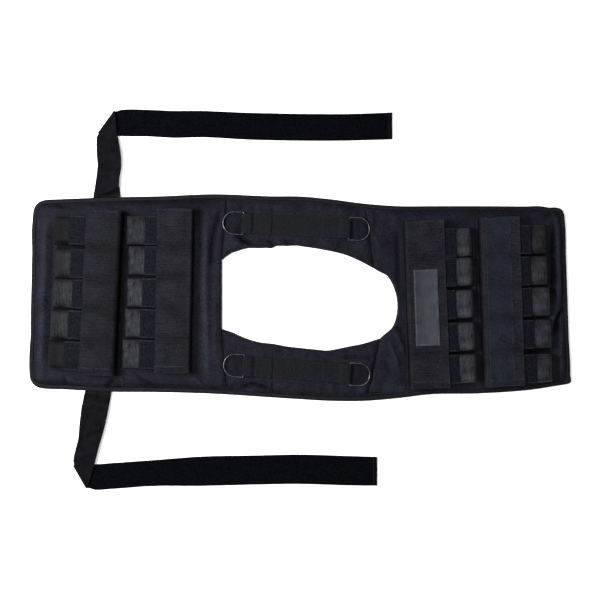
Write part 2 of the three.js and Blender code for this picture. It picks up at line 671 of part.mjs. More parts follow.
// Where a row's pockets lie across it, counted from the wearer's left.
function pocketMiddles(row) {
  const leftwards = ROW_PAIRS[row.pair].end < 0 ? 1 : -1;
  return row.nudges.map((nudge, i) => leftwards * ((POCKETS_IN_ROW - 1) / 2 - i - nudge) * POCKET_PITCH);
}

// The height of a pocket's top above the cloth: sewn flat at its closed end, then up over the bar.
function pocketTop(along, across) {
  const share = along / POCKET_LENGTH;
  const climb = THREE.MathUtils.smoothstep(share, 0.035, 0.165);
  const fall = THREE.MathUtils.smoothstep(share, 0.95, 1.05);
  const shoulder = THREE.MathUtils.smoothstep(Math.abs(across), 0.4, 0.5);
  const full = THREE.MathUtils.lerp(POCKET_HEM, POCKET_HEIGHT, climb);
  return full - climb * POCKET_SHOULDER * (shoulder + fall);
}

function pocket(name) {
  const grid = POCKET_ALONG.map((along) =>
    POCKET_ACROSS.map((across) => new THREE.Vector3(along, across * POCKET_WIDTH, pocketTop(along, across))),
  );
  return named(name, quilt(grid, 0), WEBBING);
}

function loopPatch(name) {
  const grid = [LOOP_START, LOOP_START + LOOP_LENGTH].map((along) =>
    POCKET_ACROSS.map((across) => {
      const height = pocketTop(along, across) + FIT;
      return new THREE.Vector3(along, across * POCKET_WIDTH, height);
    }),
  );
  return named(name, sheet(grid, LOOP_THICKNESS), LOOP_PILE);
}

// The flap's inner line from its foot, over the pockets' mouths and down to its free edge.
function flapLine(reach) {
  const over = POCKET_HEIGHT + LOOP_THICKNESS + 2 * FIT;
  const mouth = POCKET_LENGTH;
  return [
    { along: mouth + FLAP_FOOT, up: 0, sag: 0 },
    { along: mouth + 0.85 * FLAP_FOOT, up: 0.45 * over, sag: 0 },
    { along: mouth + 0.7 * FLAP_FOOT, up: 0.85 * over, sag: 0 },
    { along: mouth + 0.35 * FLAP_FOOT, up: 0.97 * over, sag: 0.5 },
    { along: mouth - FLAP_FOOT, up: over, sag: 1 },
    { along: mouth + FLAP_FOOT - reach, up: over, sag: 1 },
  ];
}

// Where a flap's grid lines lie across its row, and how much it sags at each.
function flapStations(row) {
  const reach = rowWidth / 2 + FLAP_OVERHANG;
  const stations = [{ across: reach, sag: 1 }];
  const middles = pocketMiddles(row).sort((a, b) => b - a);
  middles.forEach((middle, i) => {
    if (i > 0) stations.push({ across: (middles[i - 1] + middle) / 2, sag: 1 });
    stations.push({ across: middle + FLAP_REST * POCKET_WIDTH, sag: 0 });
    stations.push({ across: middle - FLAP_REST * POCKET_WIDTH, sag: 0 });
  });
  return [...stations, { across: -reach, sag: 1 }];
}

function flap(row) {
  const grid = flapLine(ROW_PAIRS[row.pair].flapReach).map((station) =>
    flapStations(row).map(({ across, sag }) => {
      const height = station.up - station.sag * sag * FLAP_DIP;
      return new THREE.Vector3(station.along, across, height);
    }),
  );
  return named(`flap_${row.name}`, sheet(grid, FLAP_THICKNESS), WEBBING);
}

// The bare patch that is sewn on one flap.
function labelPatch(reach) {
  const over = POCKET_HEIGHT + LOOP_THICKNESS + 3 * FIT + FLAP_THICKNESS;
  const middle = POCKET_LENGTH + FLAP_FOOT - 0.47 * reach;
  const body = new THREE.BoxGeometry(LABEL_WIDTH, LABEL_LENGTH, LABEL_THICKNESS);
  const mesh = named("label_patch", body, PATCH);
  mesh.position.set(middle, 0.02 * LABEL_LENGTH, over + LABEL_THICKNESS / 2);
  return mesh;
}

// One row: its pockets with their patches, the flap over them and, on one row, the label.
function pocketRow(row) {
  const group = new THREE.Group();
  const place = rowPlace(row);
  const pair = ROW_PAIRS[row.pair];
  group.position.set(place.x, place.y, seatHeight);
  group.rotation.z = place.angle;
  pocketMiddles(row).forEach((middle, i) => {
    const unit = new THREE.Group();
    unit.position.set(row.slides[i] * POCKET_LENGTH, middle, 0);
    unit.add(pocket(`pocket_${row.name}_${i + 1}`), loopPatch(`loop_${row.name}_${i + 1}`));
    group.add(unit);
  });
  group.add(flap(row));
  if (row.name === LABEL_ROW) group.add(labelPatch(pair.flapReach));
  return group;
}

// The webbing over a shoulder, looped round a ring's bar at both ends and doubled behind it.
function shoulderWeb(name) {
  const loop = WIRE / 2 + WIRE_PLAY;
  const barUp = WEB_THICKNESS + loop;
  const barAlong = WEB_LENGTH / 2 - WEB_THICKNESS - loop;
  const doubled = WEB_THICKNESS + FIT;
  const half = [{ along: WEB_LENGTH / 2 - WEB_RETURN, up: WEB_THICKNESS }];
  for (let i = 0; i <= WEB_TURN_STEPS; i += 1) {
    const angle = (Math.PI * i) / WEB_TURN_STEPS - Math.PI / 2;
    half.push({ along: barAlong + loop * Math.cos(angle), up: barUp + loop * Math.sin(angle) });
  }
  half.push(
    { along: barAlong - WEB_SLOPE.start * loop, up: barUp + WEB_SLOPE.rise * loop },
    { along: barAlong - WEB_SLOPE.end * loop, up: doubled + FIT },
    { along: WEB_LENGTH / 2 - WEB_RETURN - FIT, up: doubled },
    { along: WEB_LENGTH / 2 - WEB_RETURN - WEB_BEVEL, up: 0 },
  );
  const line = [...half, ...half.map(({ along, up }) => ({ along: -along, up })).reverse()];
  const grid = line.map(({ along, up }) =>
    [WEB_WIDTH / 2, -WEB_WIDTH / 2].map((across) => new THREE.Vector3(along, across, up)),
  );
  const geometry = sheet(grid, WEB_THICKNESS);
  return { mesh: named(name, geometry, WEBBING), barAlong, barUp };
}

// A D-ring with its bar on the local Y axis and its bow lying on the cloth towards local +X.
function dRing(name, barUp) {
  const halfHeight = WEB_WIDTH / 2 + RING_SIDE_PLAY + WIRE / 2;
  const middle = RING_DEPTH - WIRE / 2 - halfHeight;
  const line = [];
  for (let i = 0; i <= RING_STEPS; i += 1) {
    const angle = -Math.PI / 2 + (Math.PI * i) / RING_STEPS;
    line.push(point(middle + halfHeight * Math.cos(angle), halfHeight * Math.sin(angle)));
  }
  [1, -1].forEach((side) => {
    const turn = evenly(3).map((share) => {
      const angle = (Math.PI / 2) * (side > 0 ? share : 1 - share);
      const across = side * (halfHeight - RING_CORNER + RING_CORNER * Math.cos(angle));
      return point(RING_CORNER - RING_CORNER * Math.sin(angle), across);
    });
    line.push(...turn);
  });
  const drop = barUp - WIRE / 2;
  const tilt = drop / (RING_DEPTH - WIRE / 2);
  const up = new THREE.Vector3(tilt, 0, 1).normalize();
  const spine = line.map((p) => new THREE.Vector3(p.x, p.y, -p.x * tilt));
  const stations = spine.map((p, i) => {
    const before = spine.at(i - 1);
    const after = spine[(i + 1) % spine.length];
    const side = after.clone().sub(before).normalize().cross(up);
    return Array.from({ length: WIRE_SIDES }, (_, k) => {
      const angle = (2 * Math.PI * (k + 0.5)) / WIRE_SIDES;
      return p
        .clone()
        .addScaledVector(side, (WIRE / 2) * Math.cos(angle))
        .addScaledVector(up, (WIRE / 2) * Math.sin(angle));
    });
  });
  return named(name, closedSweep(stations), STEEL);
}

function shoulderFittings(web) {
  const group = new THREE.Group();
  group.position.set(alongVest(web.at), acrossVest(web.across), seatHeight);
  group.rotation.z = THREE.MathUtils.degToRad(web.turn);
  const { mesh, barAlong, barUp } = shoulderWeb(`shoulder_web_${web.name}`);
  group.add(mesh);
  [["front", 1], ["back", -1]].forEach(([panel, towards]) => {
    const ring = dRing(`d_ring_${web.name}_${panel}`, barUp);
    ring.position.set(towards * barAlong, 0, barUp);
    ring.rotation.z = towards > 0 ? 0 : Math.PI;
    group.add(ring);
  });
  return group;
}

// A waist belt: out from the vest's edge, folded under at a corner, then along the vest to its free end.
function waistBelt(name, side, rows, inset, leg) {
  const out = side === "upper" ? 1 : -1;
  const rootX = -VEST_LENGTH / 2 + inset;
  const vestEdge = (x) => outerLine(0).edge(side, x) + out * SEAM_GAP;
  const reachLength = BELT_LENGTH - leg;
  const upperLift = BELT_THICKNESS + 2 * BELT_FOLD;
  const crossLine = (row, height) => {
    const angle = THREE.MathUtils.degToRad(row.slant) * out;
    const x = rootX + row.reach * reachLength + row.drift * BELT_WIDTH;
    const half = (row.wide * BELT_WIDTH) / 2;
    return [-half, half].map((offset) => {
      const spot = new THREE.Vector3(x + offset * Math.cos(angle), offset * Math.sin(angle), height);
      spot.y += row.layer === "root" ? vestEdge(spot.x) : vestEdge(rootX) + out * row.run * leg;
      return spot;
    });
  };
  const grid = [];
  rows.forEach((row) => {
    if (row.layer === "fold") {
      const angle = THREE.MathUtils.degToRad(row.slant) * out;
      const outward = new THREE.Vector3(-Math.sin(angle) * out, Math.cos(angle) * out, 0);
      for (let i = 0; i <= 4; i += 1) {
        const turn = (Math.PI * i) / 4;
        const height = upperLift - BELT_FOLD * (1 - Math.cos(turn));
        const bulge = BELT_FOLD * Math.sin(turn);
        grid.push(crossLine(row, height).map((p) => p.addScaledVector(outward, bulge)));
      }
    } else {
      const below = row.layer === "lower" ? BELT_THICKNESS : 0;
      grid.push(crossLine(row, below + LAYER_LIFT[row.layer] * upperLift));
    }
  });
  const ordered = out > 0 ? grid.map((line) => line.reverse()) : grid;
  return named(name, sheet(ordered, BELT_THICKNESS), WEBBING);
}

const vest = new THREE.Group();
vest.add(
  backPanel(),
  frontPanel(),
  shoulderPanel("shoulder_panel_left", "upper"),
  shoulderPanel("shoulder_panel_right", "lower"),
  edgeBinding(),
  ...ROWS.map(pocketRow),
  ...SHOULDER_WEBS.map(shoulderFittings),
  waistBelt("belt_left", "upper", LEFT_BELT_ROWS, LEFT_BELT_INSET, LEFT_BELT_LEG),
  waistBelt("belt_right", "lower", RIGHT_BELT_ROWS, RIGHT_BELT_INSET, RIGHT_BELT_LEG),
);

// The origin is on the surface that the vest lies on, in the middle of its outline with the belts.
const bounds = new THREE.Box3().setFromObject(vest);
const middle = bounds.getCenter(new THREE.Vector3());
vest.position.set(-middle.x, -middle.y, -bounds.min.z);

const part = new THREE.Group();
part.add(vest);

export default part;
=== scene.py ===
import json
import logging
import math
from dataclasses import dataclass
from enum import Enum
from typing import Any, Sequence

import bpy
import numpy as np
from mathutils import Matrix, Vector, geometry, noise


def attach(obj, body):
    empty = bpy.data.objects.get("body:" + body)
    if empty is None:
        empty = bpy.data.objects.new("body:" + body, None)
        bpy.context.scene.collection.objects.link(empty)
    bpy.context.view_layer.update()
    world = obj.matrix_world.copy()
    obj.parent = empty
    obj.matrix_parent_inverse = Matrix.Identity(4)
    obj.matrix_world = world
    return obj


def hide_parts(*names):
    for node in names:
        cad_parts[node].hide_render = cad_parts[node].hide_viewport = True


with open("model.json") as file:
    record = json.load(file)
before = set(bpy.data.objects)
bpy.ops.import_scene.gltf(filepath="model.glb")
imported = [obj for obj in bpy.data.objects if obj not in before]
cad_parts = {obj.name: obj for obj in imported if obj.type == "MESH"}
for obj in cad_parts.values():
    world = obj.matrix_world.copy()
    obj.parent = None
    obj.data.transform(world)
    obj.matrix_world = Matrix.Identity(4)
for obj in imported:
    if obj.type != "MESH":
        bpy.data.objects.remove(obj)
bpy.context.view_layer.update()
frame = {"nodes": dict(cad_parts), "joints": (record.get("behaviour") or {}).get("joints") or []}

log = logging.getLogger("vest")

Colour = tuple[float, float, float]
VEST = "vest"
ROWS = ("back_lower", "back_upper", "front_lower", "front_upper")
SIDES = ("left", "right")
MM = 0.001
SHARP = math.radians(48)


class Socket:
    """A number socket of a material, for use in Python expressions."""

    def __init__(self, shop: "NodeShop", socket: bpy.types.NodeSocket) -> None:
        """Keeps the socket with the node tree that it belongs to.

        Args:
            shop: the maker of the nodes round this socket.
            socket: the output that holds the number.
        """
        self.shop = shop
        self.socket = socket

    def _join(self, operation: str, left: Any, right: Any) -> "Socket":
        """Adds a Math node over two operands and returns its result."""
        return self.shop.node("ShaderNodeMath", {"operation": operation}, {0: left, 1: right})

    def __add__(self, other: Any) -> "Socket":
        """self + other."""
        return self._join("ADD", self, other)

    def __radd__(self, other: Any) -> "Socket":
        """other + self."""
        return self._join("ADD", other, self)

    def __sub__(self, other: Any) -> "Socket":
        """self - other."""
        return self._join("SUBTRACT", self, other)

    def __rsub__(self, other: Any) -> "Socket":
        """other - self."""
        return self._join("SUBTRACT", other, self)

    def __mul__(self, other: Any) -> "Socket":
        """self * other."""
        return self._join("MULTIPLY", self, other)

    def __rmul__(self, other: Any) -> "Socket":
        """other * self."""
        return self._join("MULTIPLY", other, self)

    def __truediv__(self, other: Any) -> "Socket":
        """self / other."""
        return self._join("DIVIDE", self, other)

    def __rtruediv__(self, other: Any) -> "Socket":
        """other / self."""
        return self._join("DIVIDE", other, self)

    def wave(self, pitch: float) -> "Socket":
        """A smooth wave from 0 to 1 over this length.

        Args:
            pitch: the length of one wave, in the unit of this socket.

        Returns:
            The wave's height.
        """
        turned = self * (2 * math.pi / pitch)
        sine = self.shop.node("ShaderNodeMath", {"operation": "SINE"}, {0: turned})
        return sine * 0.5 + 0.5


class NodeShop:
    """Makes the nodes of one material."""

    def __init__(self, name: str) -> None:
        """Starts a material with an empty node tree.

        Args:
            name: the material's name.
        """
        self.material = bpy.data.materials.new(name)
        self.material.use_nodes = True
        self.tree = self.material.node_tree
        self.tree.nodes.clear()

    def node(self, kind: str, settings: dict[str, Any], inputs: dict[Any, Any], output: Any = 0) -> Socket:
        """Adds a node.

        Args:
            kind: the node's type.
            settings: its own properties, which are set first.
            inputs: values or Sockets for its inputs, by name or place.
            output: the name or place of the output that is wanted.

        Returns:
            The wanted output.
        """
        made = self.tree.nodes.new(kind)
        for key, value in settings.items():
            setattr(made, key, value)
        for key, value in inputs.items():
            if isinstance(value, Socket):
                self.tree.links.new(value.socket, made.inputs[key])
            else:
                made.inputs[key].default_value = value
        return Socket(self, made.outputs[output])

    def weave(self) -> tuple[Socket, Socket, Socket]:
        """The cloth's own coordinates in metres: along, across, and both as a vector."""
        place = self.node("ShaderNodeAttribute", {"attribute_name": "weave"}, {}, "Vector")
        along = self.node("ShaderNodeSeparateXYZ", {}, {0: place}, "X")
        across = self.node("ShaderNodeSeparateXYZ", {}, {0: place}, "Y")
        return along, across, place

    def wear_and_painted_light(self) -> Socket:
        """How much lighter the surface is painted there, or darker below 0: mostly painted light and shade,
        with some tone.
        """
        return self.node("ShaderNodeAttribute", {"attribute_name": "wear_and_painted_light"}, {}, "Fac")

    def grain(self, place: Socket, size: float, detail: float = 2.0, rough: float = 0.5) -> Socket:
        """Noise from 0 to 1.

        Args:
            place: where it is read.
            size: the size of its spots in metres.
            detail: how many finer layers it has.
            rough: how strong those layers are.

        Returns:
            The noise.
        """
        inputs = {"Vector": place, "Scale": 1 / size, "Detail": detail, "Roughness": rough}
        return self.node("ShaderNodeTexNoise", {}, inputs, "Fac")

    def blend(self, share: Any, first: Any, second: Any) -> Socket:
        """A colour between two colours.

        Args:
            share: how much of the second there is, from 0 to 1.
            first: a colour or Socket.
            second: a colour or Socket.

        Returns:
            The mixed colour.
        """
        settings = {"data_type": "RGBA", "clamp_factor": True}
        return self.node("ShaderNodeMix", settings, {0: share, 6: first, 7: second}, 2)

    def toned(self, tone: Socket, most: float, full: Any) -> Socket:
        """A colour times a tone.

        Args:
            tone: how light it is.
            most: the lightest tone that shows.
            full: the colour or Socket at that tone.

        Returns:
            The toned colour.
        """
        return self.blend(tone * (1 / most), (0.0, 0.0, 0.0, 1.0), full)

    def bump(self, height: Socket, depth: float) -> Socket:
        """A normal bumped by a relief from 0 to 1 of this depth in millimetres."""
        inputs = {"Height": height, "Distance": depth * MM, "Strength": 1.0}
        return self.node("ShaderNodeBump", {}, inputs, "Normal")

    def close(self, inputs: dict[str, Any]) -> bpy.types.Material:
        """Ends the material in a Principled shader.

        Args:
            inputs: the shader's inputs.

        Returns:
            The finished material.
        """
        shader = self.node("ShaderNodeBsdfPrincipled", {}, inputs, "BSDF")
        output = self.tree.nodes.new("ShaderNodeOutputMaterial")
        self.tree.links.new(shader.socket, output.inputs["Surface"])
        return self.material


def rgba(colour: Colour, share: float = 1.0, tint: Colour = (1.0, 1.0, 1.0)) -> tuple[float, ...]:
    """A colour times a share and a tint, with full alpha."""
    red, green, blue = (part * by * share for part, by in zip(colour, tint))
    return (red, green, blue, 1.0)


@dataclass(frozen=True)
class WovenFinish:
    """Cloth or webbing: ribs, threads, streaks, uneven dye, and painted light and shade that the mesh gives
    it. Its lengths are in millimetres.
    """

    colour: Colour
    ribs: tuple[float, float] = (1.9, 0.3)  # pitch and contrast of the ribs that run across
    lines: tuple[float, float] = (1.7, 0.3)  # pitch and contrast of the lines that run along
    streak: tuple[float, float] = (3.0, 3.0)  # the length and thickness of a streak of thread
    streaks: float = 1.2
    speck: float = 2.2
    speck_size: float = 3.4
    mottle: float = 1.0
    mottle_size: float = 30.0
    hues: float = 0.1  # how far the dye wanders between blue and violet
    roughness: float = 0.7
    specular: float = 0.06
    depth: float = 0.3
    most: float = 4.0  # the lightest tone

    def make(self, name: str) -> bpy.types.Material:
        """Builds the material under this name."""
        shop = NodeShop(name)
        along, across, place = shop.weave()
        uneven = (shop.grain(place, 9 * MM, 3.0) - 0.5) * 1.4 * MM
        rib = (along + uneven).wave(self.ribs[0] * MM)
        thread = (across + uneven).wave(self.lines[0] * MM)
        drawn = {"X": along / (self.streak[0] * MM), "Y": across / (self.streak[1] * MM)}
        streak = shop.grain(shop.node("ShaderNodeCombineXYZ", {}, drawn), 1.0, 2.0)
        cloudy = shop.grain(place, self.mottle_size * MM, 3.0)
        specks = shop.grain(place, self.speck_size * MM, 2.0, 0.6)
        pattern = (rib - 0.5) * self.ribs[1] + (thread - 0.5) * self.lines[1] + (streak - 0.5) * self.streaks
        uneven_tone = pattern + (cloudy - 0.5) * self.mottle + (specks - 0.5) * self.speck
        # the mesh's painted light and shade scale the tone
        tone = (1.0 + uneven_tone) * (1.0 + shop.wear_and_painted_light())
        tints = [[1 + self.hues * part for part in way] for way in ((-0.4, 0.3, 0.2), (0.5, -0.2, 0.2))]
        dyes = [rgba(self.colour, self.most, tint) for tint in tints]
        dyed = shop.blend((shop.grain(place, 38 * MM, 3.0) - 0.5) * 4.0 + 0.5, *dyes)
        return shop.close({
            "Base Color": shop.toned(tone, self.most, dyed),
            "Roughness": self.roughness + (cloudy - 0.5) * 0.2,
            "Normal": shop.bump(0.5 + pattern * 0.3 + (specks - 0.5) * 0.5, self.depth),
            "Specular IOR Level": self.specular,
        })


@dataclass(frozen=True)
class PileFinish:
    """Hook-and-loop tape: a deep, matt nap of fine hoops of a size in millimetres."""

    colour: Colour
    size: float = 4.0
    contrast: float = 4.0
    specular: float = 0.03
    most: float = 4.0  # the lightest tone
    neutral: Colour = (0.97, 1.02, 0.9)  # the tint of its greyer places

    def make(self, name: str) -> bpy.types.Material:
        """Builds the material under this name."""
        shop = NodeShop(name)
        _, _, place = shop.weave()
        hoops = shop.grain(place, self.size * MM, 3.0, 0.65)
        patchy = shop.grain(place, 14 * MM, 2.0)
        wander = (shop.grain(place, 45 * MM, 2.0) - 0.5) * 5.0 + 0.5
        dyed = shop.blend(wander, rgba(self.colour, self.most), rgba(self.colour, self.most, self.neutral))
        # the mesh's painted light and shade scale the tone
        tone = (1.0 + (hoops - 0.5) * self.contrast + (patchy - 0.5) * 0.6) * (1.0 + shop.wear_and_painted_light())
        return shop.close({
            "Base Color": shop.toned(tone, self.most, dyed),
            "Roughness": 0.85 + hoops * 0.12,
            "Normal": shop.bump(hoops, 0.5),
            "Specular IOR Level": self.specular,
        })


@dataclass(frozen=True)
class SatinFinish:
    """A smooth woven patch with a soft shine, partly from its roughness and partly painted into its colour.
    """

    colour: Colour
    most: float = 2.0  # the lightest tone

    def make(self, name: str) -> bpy.types.Material:
        """Builds the material under this name."""
        shop = NodeShop(name)
        along, across, place = shop.weave()
        threads = across.wave(0.8 * MM) * 0.6 + along.wave(1.1 * MM) * 0.4
        cloudy = shop.grain(place, 24 * MM, 3.0)
        specks = shop.grain(place, 3 * MM, 2.0)
        pattern = (threads - 0.5) * 0.12 + (cloudy - 0.5) * 1.2 + (specks - 0.5) * 0.8
        # the mesh's painted light and shade, such as the label's painted sheen, scale the tone
        tone = (1.0 + pattern) * (1.0 + shop.wear_and_painted_light())
        return shop.close({
            "Base Color": shop.toned(tone, self.most, rgba(self.colour, self.most)),
            "Roughness": 0.36 + cloudy * 0.14,
            "Normal": shop.bump(threads * 0.5 + cloudy * 0.5, 0.3),
            "Specular IOR Level": 0.2,
        })


@dataclass(frozen=True)
class SteelFinish:
    """Dark plated wire with brighter spots where the plating is rubbed."""

    colour: Colour
    # the colour of the spots where the plating is rubbed, which is real wear
    wear_and_painted_light: Colour

    def make(self, name: str) -> bpy.types.Material:
        """Builds the material under this name."""
        shop = NodeShop(name)
        place = shop.node("ShaderNodeTexCoord", {}, {}, "Object")
        lightness = shop.grain(place, 5 * MM, 4.0, 0.6)
        scratches = shop.grain(place, 0.8 * MM, 2.0)
        return shop.close({
            "Base Color": shop.blend((lightness - 0.45) * 3.0, rgba(self.colour), rgba(self.wear_and_painted_light)),
            "Metallic": 1.0,
            "Roughness": 0.2 + scratches * 0.12,
            "Normal": shop.bump(scratches, 0.03),
        })


@dataclass(frozen=True)
class FloorFinish:
    """The plain pale surface under the vest."""

    colour: Colour

    def make(self, name: str) -> bpy.types.Material:
        """Builds the material under this name."""
        matt = {"Roughness": 0.9, "Specular IOR Level": 0.0}
        return NodeShop(name).close({"Base Color": rgba(self.colour), **matt})


class Fabric(Enum):
    """The finishes of the vest, each with its slot in the record."""

    CLOTH = "oxford_cloth"
    BINDING = "binding_tape"
    POCKET = "pocket_webbing"
    PILE = "loop_pile"
    FLAP = "flap_webbing"
    TAPE = "flap_tape"
    WEB = "shoulder_webbing"
    BELT = "belt_webbing"
    BELT_PILE = "belt_pile"
    LABEL = "label_satin"
    STEEL = "ring_steel"
    THREAD = "thread"
    DARK_THREAD = "dark_thread"
    PALE_THREAD = "pale_thread"
    FLOOR = "floor"


FINISHES = {
    Fabric.CLOTH: WovenFinish((0.0057, 0.0056, 0.0092), mottle=1.6, hues=0.2, specular=0.045),
    Fabric.BINDING: WovenFinish((0.0050, 0.0049, 0.0068), lines=(1.3, 0.4)),
    Fabric.POCKET: WovenFinish(
        (0.0080, 0.0080, 0.0094), ribs=(2.3, 0.5), lines=(3.4, 0.3), streak=(2.0, 16.0), streaks=2.4,
        speck=1.4, mottle=2.2, mottle_size=15.0, roughness=0.62, specular=0.05, depth=0.5,
    ),
    Fabric.PILE: PileFinish((0.0042, 0.0045, 0.0070), size=3.0, contrast=4.5),
    Fabric.FLAP: WovenFinish(
        (0.0037, 0.0037, 0.0050), ribs=(2.3, 0.5), lines=(3.0, 0.6), streak=(30.0, 2.8), streaks=1.1,
        speck=2.4, mottle=1.7, mottle_size=26.0, roughness=0.66, specular=0.035, depth=0.4,
    ),
    Fabric.TAPE: WovenFinish(
        (0.0034, 0.0039, 0.0064), ribs=(2.1, 0.15), lines=(2.2, 0.5), streak=(12.0, 1.8), speck=1.9,
        mottle=1.6, roughness=0.62, specular=0.05,
    ),
    Fabric.WEB: WovenFinish(
        (0.0037, 0.0040, 0.0054), ribs=(2.6, 0.8), lines=(1.8, 0.2), streak=(1.8, 8.0), streaks=1.4,
        depth=0.35,
    ),
    Fabric.BELT: WovenFinish(
        (0.0013, 0.0011, 0.0022), ribs=(2.6, 0.4), lines=(1.8, 0.5), streak=(2.0, 12.0), streaks=1.6,
        hues=0.4, specular=0.045, depth=0.35,
    ),
    Fabric.BELT_PILE: PileFinish((0.0017, 0.0018, 0.0028), contrast=3.0, specular=0.0),
    Fabric.LABEL: SatinFinish((0.0148, 0.0160, 0.0222)),
    Fabric.STEEL: SteelFinish((0.035, 0.035, 0.04), (0.1, 0.1, 0.11)),
    Fabric.THREAD: WovenFinish((0.022, 0.022, 0.026)),
    Fabric.DARK_THREAD: WovenFinish((0.012, 0.012, 0.0145)),
    Fabric.PALE_THREAD: WovenFinish((0.05, 0.052, 0.06)),
    Fabric.FLOOR: FloorFinish((0.95, 0.95, 0.95)),
}


class Wardrobe:
    """Holds one material for each finish that has been asked for."""

    def __init__(self) -> None:
        """Starts empty."""
        self.made: dict[Fabric, bpy.types.Material] = {}

    def get(self, fabric: Fabric) -> bpy.types.Material:
        """The material of a finish, made the first time."""
        if fabric not in self.made:
            self.made[fabric] = FINISHES[fabric].make(fabric.value)
        return self.made[fabric]


WARDROBE = Wardrobe()


def put(name: str, data: Any) -> bpy.types.Object:
    """Makes an object round its mesh, lamp or camera and puts it in the scene."""
    made = bpy.data.objects.new(name, data)
    bpy.context.scene.collection.objects.link(made)
    return made


def smooth(low: float, high: float, value: np.ndarray) -> np.ndarray:
    """A smooth step from 0 at low to 1 at high."""
    share = np.clip((value - low) / (high - low), 0, 1)
    return share * share * (3 - 2 * share)


def bell(distance: np.ndarray, width: float) -> np.ndarray:
    """A soft bump of height 1 that ends about a width away."""
    return np.exp(-((distance / (0.6 * width)) ** 2))


def rough_field(points: np.ndarray, size: float, seed: float, octaves: int = 3) -> np.ndarray:
    """Noise at places on the cloth, about -1 to 1.

    Args:
        points: places in metres, two or three numbers each.
        size: the size of its waves in metres.
        seed: where the noise is cut from.
        octaves: how many layers it has.

    Returns:
        One number for each place.
    """
    flat = points.reshape(-1, points.shape[-1]) / size
    values = [noise.fractal(Vector((x, y, seed)), 0.9, 2.1, octaves) for x, y, *_ in flat]
    return np.array(values).reshape(points.shape[:-1])


def stations(length: float, step: float, edge: float = 0.35 * MM) -> np.ndarray:
    """Places along a length, with one close to each end so that an edge can be rounded."""
    inner = np.linspace(edge, length - edge, max(2, round(length / step)))
    return np.concatenate(([0.0], inner, [length]))


def along_line(points: np.ndarray, step: float) -> np.ndarray:
    """Points at even steps along an open line."""
    lengths = np.concatenate(([0], np.cumsum(np.linalg.norm(np.diff(points, axis=0), axis=1))))
    count = max(2, round(lengths[-1] / step) + 1)
    at = np.linspace(0, lengths[-1], count)
    return np.stack([np.interp(at, lengths, points[:, k]) for k in range(points.shape[1])], axis=1)


def distance_along(points: np.ndarray, line: np.ndarray) -> tuple[np.ndarray, np.ndarray, np.ndarray]:
    """How points lie to a line of straight stretches.

    Args:
        points: places, two numbers each.
        line: the line's corners.

    Returns:
        The distance, the share of the line's length at the nearest place, and the side (-1 or 1).
    """
    best = np.full(len(points), np.inf)
    share = np.zeros(len(points))
    side = np.ones(len(points))
    steps = np.diff(line, axis=0)
    lengths = np.linalg.norm(steps, axis=1)
    starts = np.concatenate(([0], np.cumsum(lengths)))
    for start, step, length, before in zip(line, steps, lengths, starts):
        if length < 1e-9:
            continue
        off = points - start
        t = np.clip(off @ step / length**2, 0, 1)
        gap = np.linalg.norm(off - t[:, None] * step, axis=1)
        closer = gap < best
        best[closer] = gap[closer]
        share[closer] = (before + t[closer] * length) / starts[-1]
        cross = step[0] * off[:, 1] - step[1] * off[:, 0]
        side[closer] = np.sign(cross[closer])
    return best, share, side


def closed(loop: np.ndarray) -> np.ndarray:
    """A loop with its first point repeated at its end."""
    return np.concatenate((loop, loop[:1]))


def gap_to(loop: np.ndarray, points: np.ndarray) -> np.ndarray:
    """How far places lie from a loop."""
    return distance_along(points, closed(loop))[0]


def left_of(ahead: np.ndarray) -> np.ndarray:
    """The direction to the left of each heading, of length 1."""
    left = np.stack((-ahead[:, 1], ahead[:, 0]), axis=1)
    return left / np.maximum(np.linalg.norm(left, axis=1, keepdims=True), 1e-9)


def heading_on(loop: np.ndarray) -> np.ndarray:
    """The heading at each point of a closed loop."""
    return np.roll(loop, -1, axis=0) - np.roll(loop, 1, axis=0)


def hermite(t: float, start: Any, leave: Any, end: Any, reach: Any) -> Any:
    """A place on the smooth curve between two points.

    Args:
        t: the share of the way, from 0 to 1.
        start: the first point.
        leave: the curve's slope there.
        end: the last point.
        reach: the curve's slope there.

    Returns:
        The place.
    """
    first = (2 * t**3 - 3 * t**2 + 1) * start + (t**3 - 2 * t**2 + t) * leave
    return first + (-2 * t**3 + 3 * t**2) * end + (t**3 - t**2) * reach


def inside(points: np.ndarray, loop: np.ndarray) -> np.ndarray:
    """Which points lie inside a loop."""
    result = np.zeros(len(points), bool)
    for (x0, y0), (x1, y1) in zip(loop, np.roll(loop, -1, axis=0)):
        if y0 == y1:
            continue
        spans = (y0 > points[:, 1]) != (y1 > points[:, 1])
        at = x0 + (points[:, 1] - y0) * (x1 - x0) / (y1 - y0)
        result ^= spans & (points[:, 0] < at)
    return result


def node_mesh(name: str) -> tuple[np.ndarray, np.ndarray]:
    """A node's corners, each place once, and its triangles."""
    mesh = frame["nodes"][name].data
    mesh.calc_loop_triangles()
    places = np.array([v.co for v in mesh.vertices])
    triangles = np.array([t.vertices for t in mesh.loop_triangles])
    corners, index = np.unique(np.round(places, 6), axis=0, return_inverse=True)
    return corners, index.reshape(-1)[triangles]


def foot_loops(name: str) -> list[np.ndarray]:
    """The outlines of a node's flat underside, the longest first.

    Args:
        name: the node.

    Returns:
        Loops of places, two numbers each, without a repeated point.
    """
    corners, triangles = node_mesh(name)
    low = corners[:, 2].min() + 1e-5
    flat = [t for t in triangles if (corners[t, 2] < low).all()]
    edges = {(t[k], t[(k + 1) % 3]) for t in flat for k in range(3)}
    after = {a: b for a, b in edges if (b, a) not in edges}
    loops = []
    while after:
        start, here = after.popitem()
        loop = [start]
        while here != start:
            loop.append(here)
            here = after.pop(here)
        loops.append(corners[loop][:, :2])
    return sorted(loops, key=lambda loop: -np.linalg.norm(np.diff(closed(loop), axis=0), axis=1).sum())


